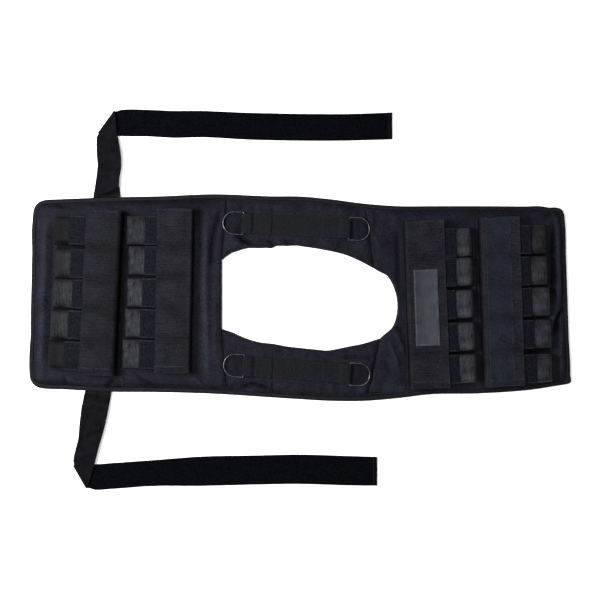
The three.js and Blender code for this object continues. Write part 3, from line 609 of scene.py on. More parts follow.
def rounded(loop: np.ndarray, step: float, corner: float = math.radians(35)) -> np.ndarray:
    """A loop with a smooth curve through its points, but for its corners.

    Args:
        loop: the points.
        step: from point to point on the curve.
        corner: a turn that stays sharp.

    Returns:
        The curve's points.
    """
    to_next = np.roll(loop, -1, axis=0) - loop
    length = np.linalg.norm(to_next, axis=1)
    heading = to_next / length[:, None]
    before = np.roll(heading, 1, axis=0)
    sharp = (heading * before).sum(1) < math.cos(corner)
    weight = length / (length + np.roll(length, 1))
    tangent = before * weight[:, None] + heading * (1 - weight)[:, None]
    curve = []
    for i in range(len(loop)):
        j = (i + 1) % len(loop)
        leave = (heading[i] if sharp[i] else tangent[i]) * length[i]
        reach = (heading[i] if sharp[j] else tangent[j]) * length[i]
        count = max(1, round(length[i] / step))
        for t in np.arange(count) / count:
            curve.append(hermite(t, loop[i], leave, loop[j], reach))
    return np.array(curve)


def turned_inwards(loop: np.ndarray) -> np.ndarray:
    """The loop in the order that keeps its inside on the left."""
    after = np.roll(loop, -1, axis=0)
    area = (loop[:, 0] * after[:, 1] - loop[:, 1] * after[:, 0]).sum()
    return loop if area > 0 else loop[::-1]


@dataclass
class Place:
    """Where a long flat piece lies: its start, its direction, and its size in its own directions."""

    start: np.ndarray
    ahead: np.ndarray
    length: float
    width: float
    base: float
    height: float

    @property
    def left(self) -> np.ndarray:
        """The direction across, to the left of ahead."""
        return np.array([-self.ahead[1], self.ahead[0]])

    def to_row(self, along: np.ndarray, across: np.ndarray, up: np.ndarray) -> np.ndarray:
        """Places in the vest's frame for places in this piece's own directions."""
        flat = self.start + along[..., None] * self.ahead + across[..., None] * self.left
        return np.concatenate((flat, (self.base + up)[..., None]), axis=-1)

    def to_own(self, points: np.ndarray) -> np.ndarray:
        """Along and across for places in the vest's frame."""
        off = points[:, :2] - self.start
        return np.stack((off @ self.ahead, off @ self.left), axis=1)

    def extent(self, name: str) -> tuple[np.ndarray, np.ndarray]:
        """The least and the greatest along, across and height of a node in this piece's own directions."""
        corners, _ = node_mesh(name)
        own = np.column_stack((self.to_own(corners), corners[:, 2] - self.base))
        return own.min(0), own.max(0)


def place_of(name: str, towards_middle: bool = True) -> Place:
    """Reads where a node lies from its outline.

    Args:
        name: the node.
        towards_middle: whether ahead points to the middle of the vest or along +X.

    Returns:
        Its place, starting at the middle of its near end.
    """
    corners, _ = node_mesh(name)
    loop = foot_loops(name)[0]
    middle = (loop.min(0) + loop.max(0)) / 2
    longest = max(zip(loop, np.roll(loop, -1, axis=0)), key=lambda ends: np.linalg.norm(ends[1] - ends[0]))
    ahead = longest[1] - longest[0]
    ahead = ahead / np.linalg.norm(ahead)
    if abs(ahead[0]) < abs(ahead[1]):
        ahead = np.array([ahead[1], -ahead[0]])
    wanted = -np.sign(middle[0]) if towards_middle else 1.0
    ahead = ahead * wanted * np.sign(ahead[0])
    left = np.array([-ahead[1], ahead[0]])
    along = (loop - middle) @ ahead
    across = (loop - middle) @ left
    start = middle + ahead * along.min() + left * (across.min() + across.max()) / 2
    base = corners[:, 2].min()
    return Place(start, ahead, np.ptp(along), np.ptp(across), base, corners[:, 2].max() - base)


class Shape:
    """Points, faces and weave coordinates of one piece while it is made."""

    def __init__(self) -> None:
        """Starts empty."""
        self.points: list[np.ndarray] = []
        self.weave: list[np.ndarray] = []
        self.faces: list[tuple[int, ...]] = []
        self.slots: list[int] = []
        self.wear_and_painted_light: list[np.ndarray] = []
        self.count = 0

    def add_points(self, points: np.ndarray, weave: np.ndarray, wear_and_painted_light: Any = 0.0) -> np.ndarray:
        """Adds points.

        Args:
            points: their places.
            weave: the cloth's own coordinates there.
            wear_and_painted_light: how much lighter the cloth is painted there, or darker below 0, as painted
                light and shade.

        Returns:
            Their numbers, in the same arrangement.
        """
        number = np.arange(self.count, self.count + points[..., 0].size).reshape(points.shape[:-1])
        self.points.append(points.reshape(-1, 3))
        self.weave.append(weave.reshape(-1, 2))
        self.wear_and_painted_light.append(np.broadcast_to(wear_and_painted_light, points.shape[:-1]).reshape(-1))
        self.count += points[..., 0].size
        return number

    def add_faces(self, faces: Any, slot: int = 0) -> None:
        """Adds faces, each a row of point numbers."""
        rows = [tuple(int(i) for i in face) for face in faces]
        self.faces += rows
        self.slots += [slot] * len(rows)

    def add_quads(self, number: np.ndarray, slot: int = 0, flip: bool = False) -> None:
        """Joins a grid of point numbers with quads."""
        a, b = number[:-1, :-1], number[1:, :-1]
        c, d = number[1:, 1:], number[:-1, 1:]
        quads = np.stack((a, d, c, b) if flip else (a, b, c, d), axis=-1).reshape(-1, 4)
        self.add_faces(quads, slot)

    def add_hoops(self, number: np.ndarray, flip: bool = False, joined: bool = False) -> None:
        """Joins closed hoops of point numbers with quads.

        Args:
            number: a row for each hoop.
            flip: whether the faces look the other way.
            joined: whether the last hoop meets the first. If not, both are filled.
        """
        rows = closed(number) if joined else number
        self.add_quads(closed(rows.T).T, flip=flip)
        if not joined:
            self.add_faces([number[0], number[-1][::-1]])

    def finish(
        self, name: str, fabrics: Sequence[Fabric], replaces: Sequence[str] = (), body: str = VEST
    ) -> bpy.types.Object:
        """Makes the object.

        Args:
            name: its name.
            fabrics: its finishes, in the order of its slots.
            replaces: the nodes that it stands for.
            body: the body that it moves with.

        Returns:
            The object, riding on its body.
        """
        mesh = bpy.data.meshes.new(name)
        mesh.from_pydata(np.concatenate(self.points).tolist(), [], self.faces)
        weave = np.concatenate(self.weave)
        padded = np.concatenate((weave, np.zeros((len(weave), 1))), axis=1).astype(np.float32)
        attribute = mesh.attributes.new("weave", "FLOAT_VECTOR", "POINT")
        attribute.data.foreach_set("vector", padded.ravel())
        # painted light and shade for each point, with some tone
        attribute = mesh.attributes.new("wear_and_painted_light", "FLOAT", "POINT")
        attribute.data.foreach_set("value", np.concatenate(self.wear_and_painted_light).astype(np.float32))
        for fabric in fabrics:
            mesh.materials.append(WARDROBE.get(fabric))
        mesh.polygons.foreach_set("material_index", self.slots)
        mesh.polygons.foreach_set("use_smooth", [True] * len(self.faces))
        mesh.set_sharp_from_angle(angle=SHARP)
        mesh.validate()
        mesh.update()
        piece = put(name, mesh)
        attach(piece, body)
        if replaces:
            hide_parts(*replaces)
        log.info("%s: %d faces", name, len(self.faces))
        return piece


def normals_of(grid: np.ndarray) -> np.ndarray:
    """The surface normal at each point of a grid."""
    along = np.gradient(grid, axis=0)
    across = np.gradient(grid, axis=1)
    normal = np.cross(along, across)
    return normal / np.maximum(np.linalg.norm(normal, axis=-1, keepdims=True), 1e-12)


def add_sheet(
    shape: Shape, grid: np.ndarray, weave: np.ndarray, thickness: Any, slots: tuple[int, int] = (0, 0),
    wear_and_painted_light: Any = 0.0,
) -> None:
    """Adds a sheet of cloth with two faces and a rounded rim.

    Args:
        shape: the piece that it is added to.
        grid: its middle surface.
        weave: the cloth's own coordinates.
        thickness: how thick it is, or how thick at each point.
        slots: the finishes of its upper and lower face.
        wear_and_painted_light: how much lighter the cloth is painted at each point, as painted light and
            shade.
    """
    normal = normals_of(grid)
    rim = np.ones(grid.shape[:2])
    rim[[0, -1], :] = rim[:, [0, -1]] = 0.45
    half = (thickness * rim / 2)[..., None]
    upper = shape.add_points(grid + normal * half, weave, wear_and_painted_light)
    lower = shape.add_points(grid - normal * half, weave, wear_and_painted_light)
    shape.add_quads(upper, slots[0])
    shape.add_quads(lower, slots[1], flip=True)
    edges = (np.s_[0, :], True), (np.s_[-1, :], False), (np.s_[:, 0], False), (np.s_[:, -1], True)
    for edge, flip in edges:
        shape.add_quads(np.stack((upper[edge], lower[edge])), slots[0], flip)


class Stitcher:
    """Collects the stitches of a sub-assembly in one piece."""

    SIDES = 5

    def __init__(self, pitch: float = 3.6 * MM, length: float = 2.7 * MM, radius: float = 0.42 * MM) -> None:
        """Sets the size of its stitches.

        Args:
            pitch: from stitch to stitch.
            length: how long one stitch shows.
            radius: half its thickness.
        """
        self.pitch = pitch
        self.length = length
        self.radius = radius
        self.shape = Shape()

    def run(self, line: np.ndarray, ups: np.ndarray | None = None) -> None:
        """Sews along a line that lies on the cloth.

        Args:
            line: places in the vest's frame.
            ups: the cloth's normal at each place, straight up if left out.
        """
        ups = np.tile([0.0, 0.0, 1.0], (len(line), 1)) if ups is None else ups
        both = along_line(np.concatenate((line, ups), axis=1), self.pitch / 4)
        for start in range(0, len(both) - 4, 4):
            ahead = both[start + 3, :3] - both[start, :3]
            if np.linalg.norm(ahead) > 1e-6:
                self._stitch(both[start + 2, :3], ahead / np.linalg.norm(ahead), both[start + 2, 3:])

    def _stitch(self, middle: np.ndarray, ahead: np.ndarray, up: np.ndarray) -> None:
        """Adds one stitch, a short rounded bar whose ends dip into the cloth."""
        aside = np.cross(up, ahead)
        rings = ((-0.5, 0.25, -0.8), (-0.3, 1.0, 0.1), (0.3, 1.0, 0.1), (0.5, 0.25, -0.8))
        angles = np.arange(self.SIDES) * 2 * math.pi / self.SIDES
        grid = np.array([[
            middle + ahead * at * self.length
            + self.radius * (aside * math.cos(a) * wide + up * (math.sin(a) * wide + lift))
            for a in angles
        ] for at, wide, lift in rings])
        number = self.shape.add_points(grid, np.zeros((*grid.shape[:2], 2)) + middle[:2])
        self.shape.add_hoops(number, flip=True)

    def finish(self, name: str, fabric: Fabric = Fabric.THREAD) -> bpy.types.Object:
        """Makes the piece that holds all the stitches."""
        return self.shape.finish(name, [fabric])


@dataclass(frozen=True)
class Fold:
    """A ridge or crease: its line as shares of the vest's length and width, or in metres on a belt."""

    line: tuple[tuple[float, float], ...]
    width: float  # in millimetres
    height: float  # in millimetres
    lean: float = 0.0  # from -1 to 1, which side falls off steeply
    tone: float = 0.0  # how much lighter the cloth is painted along it, as painted light and shade

    def near(self, points: np.ndarray, line: np.ndarray, steep: float) -> tuple[np.ndarray, np.ndarray]:
        """How much of the fold there is at places on the cloth.

        Args:
            points: the places, two numbers each.
            line: the fold's line in metres.
            steep: how much narrower a leaning fold's steep side is.

        Returns:
            The share of its height, and the share of its line at the nearest place.
        """
        gap, share, side = distance_along(points, line)
        return bell(gap / (self.width * MM * (1 - self.lean * side * steep)), 1.0), share


# Ridges and creases of the cloth; their tones are painted light and shade, and a fold of no height only
# paints a band, lighter above 0 and darker below 0.
CLOTH_FOLDS = (
    Fold(((0.034, 0.4), (0.031, 0.1), (0.027, -0.2), (0.024, -0.41)), 13, 4.0),
    Fold(((0.047, 0.36), (0.045, 0.0), (0.037, -0.36)), 5, -1.2),
    Fold(((0.04, 0.47), (0.07, 0.432), (0.115, 0.42)), 6, -1.6, 0.5),
    Fold(((0.05, 0.45), (0.09, 0.46), (0.15, 0.45)), 8, 1.6),
    Fold(((0.3, -0.375), (0.325, -0.43)), 9, 2.2, 0.6),
    Fold(((0.328, 0.42), (0.325, 0.1), (0.329, -0.2), (0.332, -0.44)), 13, 2.8),
    Fold(((0.356, 0.42), (0.345, 0.33), (0.339, 0.24), (0.338, 0.14)), 7, -2.6, 0.5),
    Fold(((0.345, 0.1), (0.343, -0.1), (0.345, -0.3)), 8, 1.2),
    Fold(((0.381, 0.3), (0.396, 0.275), (0.411, 0.255)), 7, -2.4, -0.6, -0.4),
    Fold(((0.375, 0.27), (0.395, 0.25), (0.41, 0.235)), 7, 2.2),
    Fold(((0.449, 0.345), (0.4495, 0.3), (0.451, 0.262)), 3, -1.5),
    Fold(((0.441, 0.275), (0.452, 0.25)), 5, -2.4, 0.5, -0.5),
    Fold(((0.463, 0.285), (0.46, 0.25)), 4, 1.8),
    Fold(((0.472, 0.28), (0.478, 0.25)), 5, -2.0, 0.0, -0.4),
    Fold(((0.54, 0.275), (0.56, 0.25)), 7, 1.0),
    Fold(((0.393, -0.43), (0.415, -0.414), (0.445, -0.437)), 6, -2.3, 0.5, -0.3),
    Fold(((0.4, -0.455), (0.42, -0.445), (0.445, -0.46)), 6, 1.6),
    Fold(((0.449, -0.4), (0.4495, -0.45)), 3, -1.6),
    Fold(((0.455, -0.42), (0.475, -0.415), (0.5, -0.42)), 6, 1.4),
    Fold(((0.46, -0.245), (0.47, -0.265), (0.466, -0.29)), 5, -1.2),
    Fold(((0.572, -0.293), (0.6, -0.288), (0.638, -0.295)), 5, -1.8, -0.5),
    Fold(((0.6, -0.47), (0.625, -0.44), (0.632, -0.42)), 7, 1.6),
    Fold(((0.632, 0.16), (0.638, 0.2), (0.63, 0.3)), 6, -1.4),
    Fold(((0.676, -0.14), (0.7, -0.17)), 6, -2.6, 0.6),
    Fold(((0.676, -0.17), (0.69, -0.24), (0.702, -0.28)), 8, 2.4),
    Fold(((0.665, -0.21), (0.675, -0.28), (0.682, -0.34)), 7, 1.9, 0.4),
    Fold(((0.655, -0.3), (0.668, -0.37)), 7, -1.6),
    Fold(((0.65, -0.42), (0.69, -0.43), (0.74, -0.44)), 9, 1.4),
    Fold(((0.972, 0.37), (0.975, 0.15), (0.974, -0.03)), 9, 4.4, 0.0, 0.4),
    Fold(((0.966, 0.36), (0.965, 0.1), (0.964, -0.03)), 7, -2.2, 0.0, -0.4),
    Fold(((0.982, -0.05), (0.973, -0.1), (0.965, -0.17)), 7, -3.0, -0.6, -0.5),
    Fold(((0.972, -0.04), (0.962, -0.12), (0.961, -0.2)), 7, 2.2, 0.0, 0.5),
    Fold(((0.983, -0.08), (0.981, -0.25), (0.984, -0.39)), 9, 3.4, 0.0, 0.4),
    Fold(((0.962, 0.41), (0.955, 0.39), (0.945, 0.36)), 6, -2.2, 0.5),
    Fold(((0.94, 0.425), (0.955, 0.42), (0.97, 0.405)), 6, 1.6),
    Fold(((0.82, 0.36), (0.822, 0.0), (0.832, -0.38)), 5, 1.4),
    Fold(((0.7, 0.37), (0.73, 0.385), (0.78, 0.37)), 8, 1.4),
    Fold(((0.68, 0.33), (0.681, 0.1), (0.687, -0.1)), 9, -1.2),
    Fold(((0.064, -0.36), (0.069, -0.42)), 6, -1.4, 0.4, -0.3),
    Fold(((0.075, -0.39), (0.11, -0.42), (0.14, -0.41)), 7, 1.5, 0.3, 0.2),
    Fold(((0.163, -0.375), (0.157, -0.4), (0.144, -0.43)), 6, -1.6, 0.4, -0.3),
    Fold(((0.17, -0.38), (0.175, -0.43)), 6, 1.4, 0.0, 0.2),
    Fold(((0.195, -0.365), (0.21, -0.4), (0.23, -0.425)), 6, -1.5, -0.4, -0.3),
    Fold(((0.16, 0.395), (0.2, 0.405), (0.26, 0.43)), 6, -1.4, 0.4, -0.25),
    Fold(((0.1, 0.41), (0.13, 0.43), (0.16, 0.42)), 6, 1.4, 0.3, 0.2),
    Fold(((0.0, 0.47), (0.34, 0.46)), 22, 0.0, 0.0, -0.5),
    Fold(((0.0, -0.42), (0.34, -0.44)), 18, 0.0, 0.0, -0.4),
    Fold(((0.31, 0.3), (0.315, -0.3)), 26, 0.0, 0.0, 0.75),
    Fold(((0.66, -0.45), (0.95, -0.43)), 16, 0.0, 0.0, 0.6),
    Fold(((0.66, 0.42), (0.95, 0.43)), 16, 0.0, 0.0, -0.1),
    Fold(((0.676, 0.3), (0.69, 0.0)), 10, 0.0, 0.0, -0.3),
)
# Pulls on an outline: where in metres, then how wide and how far in x and y in millimetres
EDGE_TUGS = (
    (0.501, -0.155, 18, 3.2, -1.8),
    (0.499, -0.155, 7, 3.6, 1.2),
    (0.494, -0.15, 10, -1.0, 0.8),
    (0.44, 0.171, 22, 0.0, 1.2),
    (0.462, 0.17, 14, 0.0, -1.5),
    (0.485, 0.165, 16, 1.0, 1.2),
    (-0.501, 0.12, 40, -0.8, 0.0),
    (-0.506, -0.06, 40, 0.9, 0.0),
    (-0.0536, 0.0935, 7, 0.0, -2.4),
    (-0.043, 0.1, 8, 0.0, 2.2),
    (-0.024, 0.102, 7, 0.0, -1.8),
    (-0.004, 0.1025, 8, 0.0, 2.0),
    (-0.126, 0.085, 12, 0.0, 2.0),
    (0.162, 0.046, 8, 1.0, 1.0),
)


@dataclass
class VestCloth:
    """The padded cloth of the whole vest, which the panels are cut from."""

    full: float = 8.0 * MM
    seam_drop: float = 3.4 * MM
    hem_roll: float = 10.0 * MM
    seam_roll: float = 4.0 * MM
    grid_step: float = 2.7 * MM
    edge_steps: tuple[float, ...] = (0.9 * MM, 2.2 * MM, 3.9 * MM)
    panels: tuple[str, ...] = ("back_panel", "front_panel", "shoulder_panel_left", "shoulder_panel_right")
    folds: tuple[Fold, ...] = CLOTH_FOLDS
    seat_margin: float = 9.0 * MM
    bed_reach: float = 3.0 * MM  # how far the painted shade in the gaps between the front pockets runs past their nodes
    tugs: tuple[tuple[float, ...], ...] = EDGE_TUGS
    fold_gain: float = 1.7
    soft_waves: float = 1.8 * MM
    ridges: float = 3.4 * MM
    fine_waves: float = 0.45 * MM
    puckers: int = 170  # along the whole hem
    pucker_height: float = 0.3 * MM
    relief_shading: float = 0.5  # how much darker a crease is painted and how much lighter a ridge, as painted shade and painted light

    def __post_init__(self) -> None:
        """Reads the outlines from the frame."""
        self.loops = {name: self.tugged(foot_loops(name)[0]) for name in self.panels}
        self.outer, self.hem = (self.tugged(loop) for loop in foot_loops("edge_binding")[:2])
        bows = [node_mesh(f"d_ring_{side}_{panel}")[0] for side in SIDES for panel in ("front", "back")]
        self.rings = [(bow.min(0) + bow.max(0))[:2] / 2 for bow in bows]
        self.low = self.outer.min(0)
        self.size = np.ptp(self.outer, axis=0)
        self.seats = [self._row_seat(row) for row in ROWS]
        self.seats += [place_of(f"shoulder_web_{side}", False) for side in SIDES]
        self.beds = [self._bed(row) for row in ROWS]

    def tugged(self, loop: np.ndarray) -> np.ndarray:
        """A node's outline as a smooth curve with its limp corners pulled out of shape."""
        loop = rounded(turned_inwards(loop), 3 * MM)
        moved = loop.copy()
        for x, y, width, aside, ahead in self.tugs:
            near = bell(np.linalg.norm(loop - np.array([x, y]), axis=1), width * MM)[:, None]
            moved += near * (np.array([aside, ahead]) * MM)
        return moved

    def _row_seat(self, row: str) -> Place:
        """The patch of cloth that a row of pockets and its flap cover."""
        middle = place_of(f"pocket_{row}_3")
        low, high = middle.extent(f"flap_{row}")
        start = middle.start + middle.left * (low[1] + high[1]) / 2
        return Place(start, middle.ahead, high[0], high[1] - low[1], middle.base, middle.height)

    def _bed(self, row: str) -> Place:
        """The patch of cloth under a row's pockets alone."""
        middle = place_of(f"pocket_{row}_3")
        ends = [middle.to_own(place_of(f"pocket_{row}_{i}").start[None])[0] for i in (1, 5)]
        more = self.bed_reach if row.startswith("front") else 0.0
        start = middle.start + middle.left * (ends[0][1] + ends[1][1]) / 2 - middle.ahead * more
        width = abs(ends[0][1] - ends[1][1]) + middle.width
        return Place(start, middle.ahead, middle.length + more, width, middle.base, middle.height)

    def point(self, at: float, across: float) -> np.ndarray:
        """A place from its shares of the vest's length and width."""
        middle = self.low[1] + self.size[1] / 2
        return np.array([self.low[0] + at * self.size[0], middle + across * self.size[1]])

    @staticmethod
    def _outside(seats: Sequence[Place], points: np.ndarray) -> np.ndarray:
        """How far places lie outside what is sewn on the cloth there."""
        nearest = np.full(len(points), np.inf)
        for seat in seats:
            own = seat.to_own(points)
            past = np.maximum(np.maximum(-own[:, 0], own[:, 0] - seat.length), 0)
            aside = np.maximum(np.abs(own[:, 1]) - seat.width / 2, 0)
            nearest = np.minimum(nearest, np.hypot(past, aside))
        return nearest

    def creases(self, points: np.ndarray) -> tuple[np.ndarray, np.ndarray]:
        """What the ridges and creases in the table add to the cloth's height and to its painted light and
        shade at places on it.
        """
        raised = np.zeros(len(points))
        tone = np.zeros(len(points))
        for fold in self.folds:
            near, share = fold.near(points, np.array([self.point(*shares) for shares in fold.line]), 0.55)
            taper = smooth(0, 0.18, share) * (1 - smooth(0.82, 1, share))
            raised += self.fold_gain * (fold.height * MM) * near * (0.25 + 0.75 * taper)
            tone += fold.tone * near
        return raised * self._clear(points), tone

    def _clear(self, points: np.ndarray) -> np.ndarray:
        """From 0 under what is sewn on the cloth to 1 where the cloth is free."""
        return smooth(self.seat_margin * 0.4, self.seat_margin, self._outside(self.seats, points))

    def relief(self, points: np.ndarray) -> np.ndarray:
        """What folds and wrinkles add to the cloth's height at places on it."""
        x_share = (points[:, 0] - self.low[0]) / self.size[0]
        on_shoulder = smooth(0.33, 0.38, x_share) * (1 - smooth(0.63, 0.68, x_share))
        soft = rough_field(points, 60 * MM, 3.1) * self.soft_waves
        creased = rough_field(points * np.array([1.0, 0.75]), 24 * MM, 8.4, 2)
        ridged = (0.5 - np.abs(creased)) * self.ridges
        fine = rough_field(points, 9 * MM, 5.7, 2) * self.fine_waves
        uneven = soft + ridged * (0.35 + 0.65 * on_shoulder) + fine * (0.7 + 0.5 * on_shoulder)
        return self.creases(points)[0] + uneven * (0.12 + 0.88 * self._clear(points))

    def height(self, points: np.ndarray, border: np.ndarray) -> np.ndarray:
        """The cloth's upper surface.

        Args:
            points: places on one panel.
            border: that panel's outline.

        Returns:
            The height of each place above the surface that the vest lies on.
        """
        to_hem, share, _ = distance_along(points, closed(self.hem))
        to_border = gap_to(border, points)
        hem_fall = 1 - smooth(0, self.hem_roll, to_hem)
        seam_fall = 1 - smooth(0, self.seam_roll, to_border)
        pucker = np.sin(share * 2 * math.pi * self.puckers + 3 * rough_field(points, 90 * MM, 1.3, 1))
        pucker *= bell(to_hem - 3 * MM, 7 * MM) * self.pucker_height
        base = self.full - self.seam_drop * np.maximum(hem_fall, seam_fall)
        loose = smooth(0, self.hem_roll, to_border)
        return base + pucker + self.relief(points) * (0.15 + 0.85 * loose)

    def shade(self, points: np.ndarray) -> np.ndarray:
        """The cloth's painted light and shade: painted shade in creases, between pockets, by the hem and
        under the rings, painted light on ridges.
        """
        raised, tone = self.creases(points)
        # painted shade in creases and painted light on ridges, with the table's painted tones
        shade = np.clip(raised / (4 * MM), -1, 1) * self.relief_shading + tone
        # painted shade in the gaps between the pockets
        shade -= 0.85 * (1 - smooth(0, 2 * MM, self._outside(self.beds, points)))
        # painted shade in the groove by the hem
        shade -= 0.35 * bell(gap_to(self.hem, points), 3 * MM)
        for ring in self.rings:
            # painted shadow under each ring and along its wire
            off = np.linalg.norm(points - ring, axis=1)
            shade -= 0.3 * (1 - smooth(14 * MM, 24 * MM, off)) + 0.16 * bell(off - 16 * MM, 8 * MM)
        return np.maximum(shade, -0.92)

    def build_panel(self, name: str) -> bpy.types.Object:
        """Makes one panel as a padded solid with a fine upper surface."""
        border = self.loops[name]
        edge = along_line(closed(border), self.grid_step)[:-1]
        edge_in = [edge]
        for depth in self.edge_steps:
            ring = edge + left_of(heading_on(edge)) * depth
            edge_in.append(ring[(gap_to(border, ring) > depth * 0.93) & inside(ring, border)])
        low, high = border.min(0), border.max(0)
        xs = np.arange(low[0], high[0], self.grid_step)
        ys = np.arange(low[1], high[1], self.grid_step * 0.95)
        grid = np.stack(np.meshgrid(xs, ys), axis=-1)
        grid[1::2, :, 0] += self.grid_step / 2
        grid = grid.reshape(-1, 2)
        clear = gap_to(border, grid) > self.edge_steps[-1] + 0.6 * self.grid_step
        grid = grid[clear & inside(grid, border)]
        flat = np.concatenate(edge_in + [grid])
        rim = [(i, (i + 1) % len(edge)) for i in range(len(edge))]
        made = geometry.delaunay_2d_cdt([Vector(p) for p in flat], rim, [], 1, 1e-7)
        flat = np.array([[p.x, p.y] for p in made[0]])
        shape = Shape()
        top = shape.add_points(np.column_stack((flat, self.height(flat, border))), flat, self.shade(flat))
        shape.add_faces([top[list(face)] for face in made[2]])
        rim_now = self._rim_numbers(made[3], len(edge))
        foot = shape.add_points(np.column_stack((flat[rim_now], np.zeros(len(edge)))), flat[rim_now])
        shape.add_quads(np.stack((closed(top[rim_now]), closed(foot))))
        shape.add_faces([foot[::-1]])
        piece = shape.finish(name.replace("panel", "cloth"), [Fabric.CLOTH], [name])
        return piece

    @staticmethod
    def _rim_numbers(sources: list[list[int]], count: int) -> list[int]:
        """Where the outline's points are after the triangulation."""
        found = {origin: number for number, origins in enumerate(sources) for origin in origins}
        return [found[k] for k in range(count)]


@dataclass
class EdgeBinding:
    """The tape that is turned over the vest's outer edge."""

    cloth: VestCloth
    width: float = 8.0 * MM
    height: float = 5.2 * MM
    step: float = 3.0 * MM
    profile: tuple[tuple[float, float], ...] = (
        (0.0, 0.0), (-0.02, 0.35), (0.04, 0.68), (0.14, 0.88), (0.3, 0.98), (0.5, 1.0), (0.64, 0.96),
        (0.72, 0.84), (0.8, 0.94), (0.92, 0.9), (0.98, 0.78), (1.3, 0.3), (1.3, 0.0),
    )
    sewn: int = 7  # the profile's dip, where the stitches lie

    def build(self) -> None:
        """Makes the tape and its stitches."""
        outer = along_line(closed(self.cloth.outer), self.step)[:-1]
        inward = left_of(heading_on(outer))
        run = np.arange(len(outer)) * self.step
        high = self.height * (1 + 0.1 * rough_field(outer, 26 * MM, 2.2, 2))
        reach = gap_to(self.cloth.hem, outer)
        grid = []
        weave = []
        for across, up in self.profile:
            grid.append(np.column_stack((outer + inward * (across * reach)[:, None], up * high)))
            weave.append(np.column_stack((run, np.full(len(run), across * self.width))))
        shape = Shape()
        shape.add_hoops(shape.add_points(np.array(grid), np.array(weave)), flip=True, joined=True)
        shape.finish("edge_tape", [Fabric.BINDING], ["edge_binding"])
        sewing = Stitcher()
        sewing.run(closed(grid[self.sewn]) + np.array([0, 0, 0.15 * MM]))
        sewing.finish("edge_stitches")


